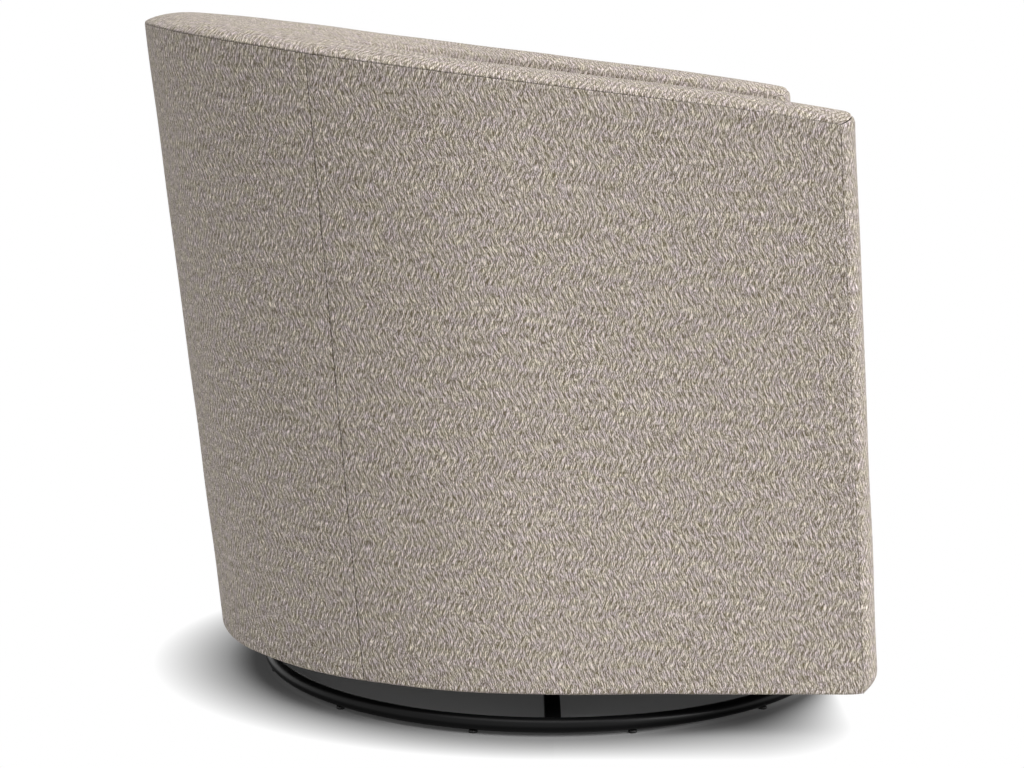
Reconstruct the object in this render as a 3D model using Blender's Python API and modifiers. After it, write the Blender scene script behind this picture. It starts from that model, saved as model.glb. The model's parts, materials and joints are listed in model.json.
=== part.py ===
"""Swivel glider barrel chair: floor ring, ball-race swivel, four-link glide and upholstered barrel body."""

import math

import bmesh
import bpy
from mathutils import Vector

# Sizes are in metres and angles in degrees. The floor is z = 0 and the chair faces -Y.
# Y distances are from the swivel axis, which stands SWIVEL_Y from the middle of the chair's length.
SWIVEL_Y = -0.0596
SEAT_GAP = 0.0003
SOFT_GAP = 0.0008

# Floor base
RING_RADIUS = 0.340
TUBE_DIAMETER = 0.018
FOOT_HEIGHT = 0.003
FOOT_DIAMETER = 0.010
FOOT_STEM_DIAMETER = 0.004
FOOT_STEM_LENGTH = 0.006
FOOT_COUNT = 12
BAR_WIDTH = 0.018
BAR_HEIGHT = 0.016
HUB_DIAMETER = 0.150
HUB_THICKNESS = 0.004

# Swivel bearing
RACE_DIAMETER = 0.230
RACE_THICKNESS = 0.004
BALL_CIRCLE_DIAMETER = 0.190
BALL_DIAMETER = 0.008
BALL_COUNT = 12
BALL_STANDOFF = 0.0023
GROOVE_FLARE = 0.002
CAGE_WIDTH = 0.014
CAGE_THICKNESS = 0.002
KINGPIN_DIAMETER = 0.012
KINGPIN_HEAD_DIAMETER = 0.028
KINGPIN_HEAD_HEIGHT = 0.006

# Glide mechanism
STRAP_WIDTH = 0.040
STRAP_TIP_WIDTH = 0.026
STRAP_THICKNESS = 0.005
STRAP_BEND = 0.007
HANGER_WIDTH = 0.305
LINK_SPREAD = 0.180
LINK_LENGTH = 0.095
LINK_WIDTH = 0.022
LINK_THICKNESS = 0.005
BOSS_DIAMETER = 0.018
PIVOT_DIAMETER = 0.008
PIVOT_CLEARANCE = 0.0004
ROD_DIAMETER = 0.012
RIVET_DIAMETER = 0.0125
RIVET_HEIGHT = 0.003
RIVET_CLEARANCE = 0.001
PIVOT_EDGE = 0.0125
LOWER_PIVOT_RISE = 0.0205
GLIDE_ANGLE = 20.0
RAIL_THICKNESS = 0.004
RAIL_FLANGE = 0.022
RAIL_FOOT = 0.0105
RAIL_CLEARANCE = 0.0005
RAIL_OVERHANG = 0.005
WELL_MARGIN = 0.012
BUMPER_HEIGHT = 0.016
BUMPER_ROUND = 0.003
STOP_CLEARANCE = 0.0005
CLEAT_WIDTH = 0.040
CLEAT_HEIGHT = 0.030
CLEAT_REACH = 0.078
CLEAT_CLEARANCE = 0.012

# Barrel body, heights above its bottom edge
BODY_WIDTH = 0.700
BODY_DROP = 0.014
FRONT_REACH = 0.3605
BACK_REACH = 0.3996
FRONT_LEAN = 3.65
BACK_LEAN = 6.2
LEAN_SPREAD = 3.4
HEM_RISE = 0.6605
HEM_SLOPE = 7.0
ARM_THICKNESS = 0.095
BACK_THICKNESS = 0.215
BACK_TAPER = 9.1
COVER_THICKNESS = 0.010
LUMBER = 0.022
POST_WIDTH = 0.060
RIM_HEIGHT = 0.060
BACK_SEAM_TURN = 31.8
BAND_RISE = 0.0143
BAND_EDGE = 0.08
BAND_CORNER = 0.006
FRONT_BULGE = 0.022
FRONT_ROUND = 0.028
BORDER_SETBACK = 0.004
PAD_CROWN = 0.012
PAD_EDGE = 0.100

# Seat box and cushion
PLY = 0.018
CLOTH = 0.0015
DECK_RISE = 0.231
DECK_THICKNESS = 0.003
SPRING_COUNT = 4
SPRING_SPACING = 0.110
SPRING_WIRE = 0.004
SPRING_WIDTH = 0.046
SPRING_PITCH = 0.074
SPRING_LEAD = 0.010
CUSHION_EDGE = 0.112
CUSHION_CROWN = 0.036
CUSHION_CLEARANCE = 0.003
CUSHION_ROUND = 0.012
CUSHION_DRAW = 0.008

# Heights above the floor that follow from the stack of the base and the mechanism
RING_Z = FOOT_HEIGHT + TUBE_DIAMETER / 2
BAR_TOP = RING_Z + BAR_HEIGHT / 2
HUB_TOP = BAR_TOP + SEAT_GAP + HUB_THICKNESS
LOWER_RACE_TOP = HUB_TOP + SEAT_GAP + RACE_THICKNESS
BALL_Z = LOWER_RACE_TOP + BALL_STANDOFF
SWIVEL_PLATE_TOP = BALL_Z + BALL_STANDOFF + RACE_THICKNESS
STRAP_TOP = SWIVEL_PLATE_TOP + SEAT_GAP + STRAP_THICKNESS
LOWER_PIVOT_Z = STRAP_TOP + LOWER_PIVOT_RISE
UPPER_PIVOT_Z = LOWER_PIVOT_Z + LINK_LENGTH
BODY_BOTTOM = LOWER_PIVOT_Z - BODY_DROP
FRAME_TOP = LOWER_PIVOT_Z + ROD_DIAMETER / 2 + RAIL_CLEARANCE + RAIL_THICKNESS
FRAME_BOTTOM = FRAME_TOP - PLY
BOARD_BOTTOM = FRAME_TOP + SEAT_GAP
DECK_BOTTOM = BODY_BOTTOM + DECK_RISE
DECK_TOP = DECK_BOTTOM + DECK_THICKNESS

# Mechanism planes to either side of the swivel axis: upright, link and rail from the outside inwards
BOSS_LENGTH = LINK_THICKNESS + 2 * (RIVET_HEIGHT + RIVET_CLEARANCE)
LINK_X = HANGER_WIDTH / 2 - STRAP_THICKNESS - SEAT_GAP - BOSS_LENGTH / 2
RAIL_X = LINK_X - BOSS_LENGTH / 2 - SEAT_GAP
WELL_X = HANGER_WIDTH / 2 + RIVET_HEIGHT + WELL_MARGIN
LINK_Y = LINK_SPREAD / 2
GLIDE_TRAVEL = LINK_LENGTH * math.sin(math.radians(GLIDE_ANGLE))
CLEAT_Y = LINK_Y + STRAP_WIDTH / 2 + GLIDE_TRAVEL + CLEAT_CLEARANCE
RAIL_END_Y = CLEAT_Y + CLEAT_WIDTH + RAIL_OVERHANG
WELL_Y = RAIL_END_Y + SEAT_GAP

# The wall is faceted on these turns round the back, counted from 0 at the back's middle to 1 at the arms
BACK_FACETS = 12
STATIONS = [-2.0] + [step / BACK_FACETS for step in range(-BACK_FACETS, BACK_FACETS + 1)] + [2.0]
BAND_ROWS = (0.0, 0.03, 0.12, 0.28, 0.5, 0.72, 0.88, 0.97, 1.0)
PAD_ROWS = (0.0, 0.3, 0.42, 0.56, 0.72, 0.88, 1.0)
CORNER_ROWS = (0.3, 0.6, 1.0)
CUSHION_CELLS = 10
CUSHION_LAYERS = 4
SPRING_STEPS = 6
ROUND_SIDES = 16
RACE_SIDES = 32
RING_SEGMENTS = 60
RING_SIDES = 10


def clear_scene():
    """Removes every object, so the script gives the same chair whatever the file held."""
    for obj in list(bpy.data.objects):
        bpy.data.objects.remove(obj, do_unlink=True)


def new_collection(name):
    collection = bpy.data.collections.new(name)
    bpy.context.scene.collection.children.link(collection)
    return collection


def finish(name, colour, roughness, metallic=0.0):
    """A Principled material for one kind of piece."""
    material = bpy.data.materials.new(name)
    material.use_nodes = True
    shader = material.node_tree.nodes["Principled BSDF"]
    shader.inputs["Base Color"].default_value = (*colour, 1.0)
    shader.inputs["Roughness"].default_value = roughness
    shader.inputs["Metallic"].default_value = metallic
    material.diffuse_color = (*colour, 1.0)
    return material


clear_scene()
PARTS = new_collection("swivel_glider_barrel_chair")
CUTTERS = new_collection("chair_cutters")

UPHOLSTERY = finish("upholstery_weave", (0.36, 0.32, 0.28), 0.9)
BLACK_STEEL = finish("black_powder_coat", (0.012, 0.012, 0.012), 0.35, 0.4)
BLACK_PLASTIC = finish("black_glide_plastic", (0.015, 0.015, 0.015), 0.5)
ZINC_STEEL = finish("zinc_plated_steel", (0.50, 0.50, 0.48), 0.38, 1.0)
RUBBER = finish("black_rubber", (0.02, 0.02, 0.02), 0.8)
TIMBER = finish("frame_timber", (0.55, 0.38, 0.22), 0.7)
SPRING_STEEL = finish("spring_steel", (0.20, 0.20, 0.20), 0.45, 1.0)
BLACK_CLOTH = finish("black_lining_cloth", (0.02, 0.02, 0.022), 0.95)


def add_empty(name, location, parent=None):
    empty = bpy.data.objects.new(name, None)
    empty.location = location
    empty.parent = parent
    PARTS.objects.link(empty)
    return empty


SWIVEL_AXIS = add_empty("swivel_axis", (0, SWIVEL_Y, 0))
CARRIAGE_PIVOT = add_empty("carriage_pivot", (LINK_X, LINK_Y, LOWER_PIVOT_Z), SWIVEL_AXIS)


def add_piece(name, data, material, location=(0, 0, 0), rotation=(0, 0, 0), parent=SWIVEL_AXIS):
    """Puts a mesh or curve into the chair as a named piece."""
    obj = bpy.data.objects.new(name, data)
    obj.location = location
    obj.rotation_euler = rotation
    obj.parent = parent
    data.materials.append(material)
    PARTS.objects.link(obj)
    return obj


def add_body_piece(name, data, material, location=(0, 0, 0), rotation=(0, 0, 0)):
    """A piece of the gliding body: its parent empty is on the glide's pivot."""
    offset = Vector(location) - CARRIAGE_PIVOT.location
    return add_piece(name, data, material, offset, rotation, CARRIAGE_PIVOT)


def mesh_from(bm, name):
    """Turns the faces of a closed body outwards and keeps it as a mesh."""
    bmesh.ops.recalc_face_normals(bm, faces=bm.faces)
    if bm.calc_volume(signed=True) < 0:
        bmesh.ops.reverse_faces(bm, faces=bm.faces)
    mesh = bpy.data.meshes.new(name)
    bm.to_mesh(mesh)
    bm.free()
    return mesh


def box_mesh(name, low, high, edge_round=0.0):
    """A block between two corners, with its edges cut by a small round where one is given."""
    bm = bmesh.new()
    bmesh.ops.create_cube(bm, size=1.0)
    low, high = Vector(low), Vector(high)
    for vert in bm.verts:
        share = vert.co + Vector((0.5, 0.5, 0.5))
        vert.co = [a + (b - a) * s for a, b, s in zip(low, high, share)]
    if edge_round:
        bmesh.ops.bevel(bm, geom=bm.edges[:], offset=edge_round, segments=2, profile=0.5, affect="EDGES")
    return mesh_from(bm, name)


def cylinder_mesh(name, radius, length, sides=ROUND_SIDES):
    bm = bmesh.new()
    bmesh.ops.create_cone(bm, cap_ends=True, segments=sides, radius1=radius, radius2=radius, depth=length)
    return mesh_from(bm, name)


def add_cutter(name, mesh, location=(0, 0, 0), rotation=(0, 0, 0), parent=SWIVEL_AXIS):
    obj = bpy.data.objects.new(name, mesh)
    obj.location = location
    obj.rotation_euler = rotation
    obj.parent = parent
    obj.hide_render = True
    obj.display_type = "WIRE"
    CUTTERS.objects.link(obj)
    return obj


def boolean(piece, other, operation="DIFFERENCE"):
    modifier = piece.modifiers.new(operation.lower(), "BOOLEAN")
    modifier.operation = operation
    modifier.object = other


def turn(obj, steps):
    """Turns an object's profile once round its own Z axis."""
    screw = obj.modifiers.new("turned", "SCREW")
    screw.steps = steps
    screw.render_steps = steps
    screw.use_merge_vertices = True
    screw.merge_threshold = 0.00001


def profile_mesh(name, points, closed):
    """A profile of (radius, height) points, listed down its outer side."""
    mesh = bpy.data.meshes.new(name)
    edges = [(i, i + 1) for i in range(len(points) - 1)]
    if closed:
        edges.append((len(points) - 1, 0))
    mesh.from_pydata([(radius, 0, height) for radius, height in points], edges, [])
    return mesh


def outline_mesh(name, loops, thickness):
    """A flat plate: 2D curve loops filled and extruded, then welded into one mesh."""
    curve = bpy.data.curves.new(name, "CURVE")
    curve.dimensions = "2D"
    curve.fill_mode = "BOTH"
    curve.extrude = thickness / 2
    for loop in loops:
        spline = curve.splines.new("POLY")
        spline.points.add(len(loop) - 1)
        for point, (x, y) in zip(spline.points, loop):
            point.co = (x, y, 0, 1)
        spline.use_cyclic_u = True
    return welded_mesh(bpy.data.objects.new(name, curve))


def welded_mesh(obj):
    """The evaluated mesh of a loose object, with its seams welded; the object is removed."""
    CUTTERS.objects.link(obj)
    depsgraph = bpy.context.evaluated_depsgraph_get()
    mesh = bpy.data.meshes.new_from_object(obj.evaluated_get(depsgraph))
    bpy.data.objects.remove(obj, do_unlink=True)
    bm = bmesh.new()
    bm.from_mesh(mesh)
    bmesh.ops.remove_doubles(bm, verts=bm.verts, dist=0.000001)
    bmesh.ops.recalc_face_normals(bm, faces=bm.faces)
    bm.to_mesh(mesh)
    bm.free()
    return mesh


def arc(centre, radius, start, end, steps):
    """Points of an arc in a plane, from one angle to another in degrees."""
    points = []
    for step in range(steps + 1):
        angle = math.radians(start + (end - start) * step / steps)
        points.append((centre[0] + radius * math.cos(angle), centre[1] + radius * math.sin(angle)))
    return points


ALONG_X = (0, math.radians(90), 0)
ACROSS_X = (math.radians(90), 0, 0)
FACING_X = (math.radians(90), 0, math.radians(90))


# Floor base

def build_ring():
    """The floor ring, drilled from below for the stems of its glides."""
    ring_mesh = torus_mesh("base_ring", TUBE_DIAMETER / 2)
    ring = add_piece("base_ring", ring_mesh, BLACK_STEEL, (0, 0, RING_Z))
    hole_radius = FOOT_STEM_DIAMETER / 2 + SEAT_GAP
    depth = FOOT_STEM_LENGTH + SEAT_GAP
    for index, (x, y) in enumerate(foot_places()):
        drill = cylinder_mesh("stem_drill", hole_radius, 2 * depth, ROUND_SIDES // 2)
        boolean(ring, add_cutter(f"stem_drill_{index}", drill, (x, y, FOOT_HEIGHT)))


def torus_mesh(name, tube_radius):
    bpy.ops.mesh.primitive_torus_add(
        major_radius=RING_RADIUS, minor_radius=tube_radius,
        major_segments=RING_SEGMENTS, minor_segments=RING_SIDES)
    obj = bpy.context.object
    mesh = obj.data
    mesh.name = name
    bpy.data.objects.remove(obj, do_unlink=True)
    mesh.shade_smooth()
    return mesh


def foot_places():
    """Glide positions, with the first pair astride the right-hand bar."""
    pitch = 2 * math.pi / FOOT_COUNT
    turns = [pitch * (index + 0.5) for index in range(FOOT_COUNT)]
    return [(RING_RADIUS * math.cos(turn), RING_RADIUS * math.sin(turn)) for turn in turns]


def build_feet():
    """Button glides with a stem up into the ring."""
    radius = FOOT_DIAMETER / 2
    stem = FOOT_STEM_DIAMETER / 2
    top = FOOT_HEIGHT - SEAT_GAP
    chamfer = top / 3
    profile = [
        (0, FOOT_HEIGHT + FOOT_STEM_LENGTH - SEAT_GAP),
        (stem, FOOT_HEIGHT + FOOT_STEM_LENGTH - SEAT_GAP),
        (stem, top), (radius - chamfer, top), (radius, top - chamfer),
        (radius, chamfer), (radius - chamfer, 0), (0, 0)]
    for index, (x, y) in enumerate(foot_places()):
        mesh = profile_mesh("foot_glide", profile, closed=False)
        foot = add_piece(f"foot_glide_{index + 1:02d}", mesh, BLACK_PLASTIC, (x, y, 0))
        turn(foot, ROUND_SIDES // 2)


def build_bars():
    """One bar right across the ring and two half bars butted to it, all coped to the tube."""
    cope = add_cutter("ring_cope", torus_mesh("ring_cope", TUBE_DIAMETER / 2 + SEAT_GAP), (0, 0, RING_Z))
    low, high = RING_Z - BAR_HEIGHT / 2, BAR_TOP
    half = BAR_WIDTH / 2
    pin_hole = cylinder_mesh("kingpin_hole", KINGPIN_DIAMETER / 2 + SEAT_GAP, BAR_HEIGHT * 2)
    kingpin_hole = add_cutter("kingpin_hole", pin_hole, (0, 0, RING_Z))
    cross_mesh = box_mesh("cross_bar", (-RING_RADIUS, -half, low), (RING_RADIUS, half, high))
    cross_bar = add_piece("cross_bar", cross_mesh, BLACK_STEEL)
    boolean(cross_bar, cope)
    boolean(cross_bar, kingpin_hole)
    start = half + SEAT_GAP
    for name, near, far in (("front", -RING_RADIUS, -start), ("rear", start, RING_RADIUS)):
        mesh = box_mesh("half_bar", (-half, near, low), (half, far, high))
        boolean(add_piece(f"half_bar_{name}", mesh, BLACK_STEEL), cope)


def build_hub():
    """Plate over the crossing of the bars, which carries the bearing."""
    bore = KINGPIN_DIAMETER / 2 + SEAT_GAP
    low, high, edge = BAR_TOP + SEAT_GAP, HUB_TOP, HUB_DIAMETER / 2
    profile = [(bore, high), (edge, high), (edge, low), (bore, low)]
    turn(add_piece("hub_plate", profile_mesh("hub_plate", profile, closed=True), BLACK_STEEL), RACE_SIDES)


# Swivel bearing

def groove(face, floor):
    """Ball groove across a race: two lips on its face and a flat floor, from the inner side outwards."""
    centre = BALL_CIRCLE_DIAMETER / 2
    floor_half = BALL_DIAMETER / 2 - SEAT_GAP
    lip_half = floor_half + GROOVE_FLARE
    return [(centre - lip_half, face), (centre - floor_half, floor),
            (centre + floor_half, floor), (centre + lip_half, face)]


def build_bearing():
    """Lower and upper ball races, the caged balls between them and the kingpin that ties them."""
    edge = RACE_DIAMETER / 2
    bore = KINGPIN_DIAMETER / 2 + PIVOT_CLEARANCE
    ball_radius = BALL_DIAMETER / 2
    low = HUB_TOP + SEAT_GAP
    lower_floor = BALL_Z - ball_radius - SEAT_GAP
    lower = [(bore, LOWER_RACE_TOP), *groove(LOWER_RACE_TOP, lower_floor),
             (edge, LOWER_RACE_TOP), (edge, low), (bore, low)]
    race = add_piece("bearing_lower_race", profile_mesh("lower_race", lower, closed=True), ZINC_STEEL)
    turn(race, RACE_SIDES)
    face = BALL_Z + BALL_STANDOFF
    upper_floor = BALL_Z + ball_radius + SEAT_GAP
    upper = [(bore, SWIVEL_PLATE_TOP), (edge, SWIVEL_PLATE_TOP), (edge, face),
             *reversed(groove(face, upper_floor)), (bore, face)]
    plate = add_piece("swivel_plate", profile_mesh("swivel_plate", upper, closed=True), ZINC_STEEL)
    turn(plate, RACE_SIDES)
    build_cage(ball_radius)
    build_kingpin()


def build_cage(ball_radius):
    """Flat cage ring with its balls set in it."""
    middle, half = BALL_CIRCLE_DIAMETER / 2, CAGE_WIDTH / 2
    top, bottom = BALL_Z + CAGE_THICKNESS / 2, BALL_Z - CAGE_THICKNESS / 2
    profile = [(middle - half, top), (middle + half, top), (middle + half, bottom), (middle - half, bottom)]
    cage = add_piece("ball_cage", profile_mesh("ball_cage", profile, closed=True), ZINC_STEEL)
    turn(cage, RACE_SIDES)
    for index in range(BALL_COUNT):
        angle = 2 * math.pi * index / BALL_COUNT
        bm = bmesh.new()
        bmesh.ops.create_icosphere(bm, subdivisions=2, radius=ball_radius)
        place = (middle * math.cos(angle), middle * math.sin(angle), BALL_Z)
        boolean(cage, add_cutter(f"ball_{index}", mesh_from(bm, "ball"), place), "UNION")


def build_kingpin():
    """Headed pin through the races and the hub, screwed into the cross bar."""
    radius, head = KINGPIN_DIAMETER / 2, KINGPIN_HEAD_DIAMETER / 2
    seat = SWIVEL_PLATE_TOP + SEAT_GAP
    top = seat + KINGPIN_HEAD_HEIGHT
    chamfer = KINGPIN_HEAD_HEIGHT / 4
    bottom = RING_Z - BAR_HEIGHT / 2 + SEAT_GAP
    profile = [(0, top), (head - chamfer, top), (head, top - chamfer), (head, seat),
               (radius, seat), (radius, bottom), (0, bottom)]
    turn(add_piece("kingpin", profile_mesh("kingpin", profile, closed=False), ZINC_STEEL), ROUND_SIDES)


# Glide mechanism

def build_hangers():
    """Two straps on the swivel plate, bent up into uprights that carry the upper pivots."""
    half, low = HANGER_WIDTH / 2, SWIVEL_PLATE_TOP + SEAT_GAP
    top = UPPER_PIVOT_Z + PIVOT_EDGE
    bend, outer_bend = STRAP_BEND, STRAP_BEND + STRAP_THICKNESS
    inner = half - STRAP_THICKNESS
    outline = [
        (-half, top), *arc((-half + outer_bend, low + outer_bend), outer_bend, 180, 270, 4),
        *arc((half - outer_bend, low + outer_bend), outer_bend, 270, 360, 4), (half, top),
        (inner, top), *arc((inner - bend, STRAP_TOP + bend), bend, 360, 270, 4),
        *arc((-inner + bend, STRAP_TOP + bend), bend, 270, 180, 4), (-inner, top)]
    for name, y in (("front", -LINK_Y), ("rear", LINK_Y)):
        mesh = outline_mesh("hanger", [outline], STRAP_WIDTH)
        taper_tips(mesh, top)
        hanger = add_piece(f"{name}_hanger", mesh, BLACK_STEEL, (0, y, 0), ACROSS_X)
        hole = cylinder_mesh("hanger_hole", PIVOT_DIAMETER / 2 + PIVOT_CLEARANCE, HANGER_WIDTH * 2)
        boolean(hanger, add_cutter(f"{name}_hanger_hole", hole, (0, y, UPPER_PIVOT_Z), ALONG_X))


def taper_tips(mesh, top):
    """Narrows the strap to its tip width at the top of the uprights."""
    for vert in mesh.vertices:
        if vert.co.y > top - SEAT_GAP:
            vert.co.z *= STRAP_TIP_WIDTH / STRAP_WIDTH


def build_rods():
    """Pivot rods: thick between their shoulders, stepped down through the pivots and riveted over."""
    upper = LINK_X - BOSS_LENGTH / 2 - SEAT_GAP, HANGER_WIDTH / 2 + SEAT_GAP
    lower = RAIL_X - RAIL_THICKNESS - SEAT_GAP, LINK_X + LINK_THICKNESS / 2 + SEAT_GAP
    for name, y in (("front", -LINK_Y), ("rear", LINK_Y)):
        rod = add_piece(
            f"upper_pivot_rod_{name}", rod_mesh("upper_pivot_rod", *upper), ZINC_STEEL,
            (0, y, UPPER_PIVOT_Z), ALONG_X)
        turn(rod, ROUND_SIDES)
        rod = add_body_piece(
            f"lower_pivot_rod_{name}", rod_mesh("lower_pivot_rod", *lower), ZINC_STEEL,
            (0, y, LOWER_PIVOT_Z), ALONG_X)
        turn(rod, ROUND_SIDES)


def rod_mesh(name, shoulder, end):
    """Half profile of a rod from its rivet to its middle, and the same again to the other end."""
    body, pivot, rivet = ROD_DIAMETER / 2, PIVOT_DIAMETER / 2, RIVET_DIAMETER / 2
    half = [(0, end + RIVET_HEIGHT), (rivet - RIVET_HEIGHT / 2, end + RIVET_HEIGHT), (rivet, end),
            (pivot, end), (pivot, shoulder), (body, shoulder)]
    other = [(radius, -height) for radius, height in reversed(half)]
    return profile_mesh(name, half + other, closed=False)


def build_links():
    """Four stamped links with a boss and a bore at each end, hung on the upper rods."""
    outline = arc((0, 0), LINK_WIDTH / 2, 0, 180, 8)
    outline += arc((0, -LINK_LENGTH), LINK_WIDTH / 2, 180, 360, 8)
    bore = PIVOT_DIAMETER / 2 + PIVOT_CLEARANCE
    for end, y in (("front", -LINK_Y), ("rear", LINK_Y)):
        for name, side in (("left", 1), ("right", -1)):
            web = outline_mesh("link", [outline], LINK_THICKNESS)
            x = side * LINK_X
            link = add_piece(f"link_{end}_{name}", web, ZINC_STEEL, (x, y, UPPER_PIVOT_Z), FACING_X)
            lower_x = x - side * BOSS_LENGTH / 4
            for place, length in (((x, y, UPPER_PIVOT_Z), BOSS_LENGTH),
                                  ((lower_x, y, LOWER_PIVOT_Z), BOSS_LENGTH / 2)):
                boss = cylinder_mesh("boss", BOSS_DIAMETER / 2, length)
                boolean(link, add_cutter(f"{link.name}_boss", boss, place, ALONG_X), "UNION")
                drill = cylinder_mesh("link_drill", bore, 2 * BOSS_LENGTH)
                boolean(link, add_cutter(f"{link.name}_drill", drill, place, ALONG_X))


def build_carriage():
    """Angle rails on the lower rods, and the rubber blocks that stop the glide against the uprights."""
    low, high = LOWER_PIVOT_Z - RAIL_FOOT, FRAME_TOP
    wall, edge = RAIL_X - RAIL_THICKNESS, RAIL_X - RAIL_FLANGE
    bore = PIVOT_DIAMETER / 2 + PIVOT_CLEARANCE
    stop = LINK_Y - STRAP_WIDTH / 2 - GLIDE_TRAVEL - STOP_CLEARANCE
    middle = (low + high) / 2
    for name, side in (("left", 1), ("right", -1)):
        outline = [(RAIL_X, low), (wall, low), (wall, high - RAIL_THICKNESS),
                   (edge, high - RAIL_THICKNESS), (edge, high), (RAIL_X, high)]
        outline = [(side * x, z) for x, z in outline]
        mesh = outline_mesh("carriage_rail", [outline], 2 * RAIL_END_Y)
        rail = add_body_piece(f"carriage_rail_{name}", mesh, ZINC_STEEL, (0, 0, 0), ACROSS_X)
        for y in (-LINK_Y, LINK_Y):
            drill = cylinder_mesh("rail_drill", bore, 4 * RAIL_THICKNESS)
            place = (side * (RAIL_X - RAIL_THICKNESS / 2), y, LOWER_PIVOT_Z)
            boolean(rail, add_cutter(f"{rail.name}_drill", drill, place, ALONG_X))
        reach = sorted((side * (RAIL_X + SEAT_GAP), side * HANGER_WIDTH / 2))
        block = box_mesh(
            "stop_bumper", (reach[0], -stop, middle - BUMPER_HEIGHT / 2),
            (reach[1], stop, middle + BUMPER_HEIGHT / 2), BUMPER_ROUND)
        add_body_piece(f"stop_bumper_{name}", block, RUBBER)


# Barrel wall

def section(station):
    """Foot of the wall on its plan and the wall's turn towards the back, at a station from -2 to 2."""
    side = math.copysign(1, station)
    turn_in = math.pi / 2 * max(0.0, 1 - abs(station))
    x = side * BODY_WIDTH / 2 * math.cos(turn_in)
    y = BACK_REACH * math.sin(turn_in) if abs(station) < 1 else -FRONT_REACH * (abs(station) - 1)
    return x, y, side, turn_in


def lean_at(y):
    """Rearward run of the wall for each metre of height: the arms' lean, growing to the back's."""
    share = (y + FRONT_REACH) / (FRONT_REACH + BACK_REACH)
    front, back = math.tan(math.radians(FRONT_LEAN)), math.tan(math.radians(BACK_LEAN))
    return front + share ** LEAN_SPREAD * (back - front)


def station_point(station, level, depth):
    """Point of the wall at a station: level gives its height, and depth its step in from the outside."""
    x, y, side, turn_in = section(station)
    square = Vector((-side * math.cos(turn_in) * BACK_REACH, -math.sin(turn_in) * BODY_WIDTH / 2, 0))
    square.normalize()

    def point(z):
        back = BACK_THICKNESS - math.tan(math.radians(BACK_TAPER)) * (z - DECK_TOP)
        through = Vector((-side * math.cos(turn_in) * ARM_THICKNESS, -math.sin(turn_in) * back, 0))
        outer = Vector((x, y + lean_at(y) * (z - BODY_BOTTOM), z))
        return outer + depth(square, through)

    slope = math.tan(math.radians(HEM_SLOPE))
    foot, head = point(0).y, point(1).y
    hem = (BODY_BOTTOM + HEM_RISE + slope * foot) / (1 - slope * (head - foot))
    return point(level(hem))


def wall_point(station, level, depth):
    """The same on the faceted wall, so that pieces on one facet lie flat against each other."""
    for start, end in zip(STATIONS, STATIONS[1:]):
        if start <= station <= end:
            share = (station - start) / (end - start)
            first, last = station_point(start, level, depth), station_point(end, level, depth)
            return first.lerp(last, share)
    raise ValueError("station is off the wall")


def at_height(z):
    return lambda hem: z


def below_hem(drop):
    """A level below the plane of the seam under the top band, which rises towards the back."""
    return lambda hem: hem - drop


def inset(depth):
    """A step square to the outside."""
    return lambda square, through: square * depth


def inner_face(extra):
    """A step right through the wall to its inner face, and a little further."""
    return lambda square, through: through * (1 + extra / through.length)


def across(share):
    """A share of the way through the wall."""
    return lambda square, through: through * share


def behind_front(distance):
    """Station on the left arm that lies a distance behind the arms' front."""
    return 2 - distance / FRONT_REACH


def bent_block(name, columns, rows, place):
    """A closed block: a grid and its copy, bent by place(column, row, is_copy)."""
    bm = bmesh.new()
    bmesh.ops.create_grid(bm, x_segments=len(columns) - 1, y_segments=len(rows) - 1, size=1.0)
    copied = bmesh.ops.extrude_face_region(bm, geom=bm.faces[:])["geom"]
    copies = {item for item in copied if isinstance(item, bmesh.types.BMVert)}
    for vert in bm.verts:
        column = columns[round((vert.co.x + 1) / 2 * (len(columns) - 1))]
        row = rows[round((vert.co.y + 1) / 2 * (len(rows) - 1))]
        vert.co = place(column, row, vert in copies)
    return mesh_from(bm, name)


def wall_mesh(name, start, end, low, high, outer, inner):
    """A piece of the wall between two stations, two levels and two depths."""
    columns = [start] + [station for station in STATIONS if start < station < end] + [end]

    def place(station, top, is_inner):
        return wall_point(station, high if top else low, inner if is_inner else outer)

    return bent_block(name, columns, (False, True), place)


BAND_BACK = behind_front(FRONT_BULGE + SEAT_GAP)
BACK_SEAM = 1 - BACK_SEAM_TURN / 90
UNDER_BAND = below_hem(SEAT_GAP)
FRAME_OUTER = COVER_THICKNESS + SEAT_GAP
FRAME_INNER = FRAME_OUTER + LUMBER
PAD_OUTER = FRAME_INNER + SEAT_GAP


def build_outer_covers():
    """Padded panels of the outside: two sides and the back, butted at the sewn seams."""
    faces = inset(0), inset(COVER_THICKNESS)
    low = at_height(BODY_BOTTOM)
    seam = SEAT_GAP / BODY_WIDTH
    spans = {"outer_side_left": (BACK_SEAM + seam, BAND_BACK), "outer_back": (-BACK_SEAM, BACK_SEAM),
             "outer_side_right": (-BAND_BACK, -BACK_SEAM - seam)}
    for name, (start, end) in spans.items():
        add_body_piece(name, wall_mesh(name, start, end, low, UNDER_BAND, *faces), UPHOLSTERY)


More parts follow.
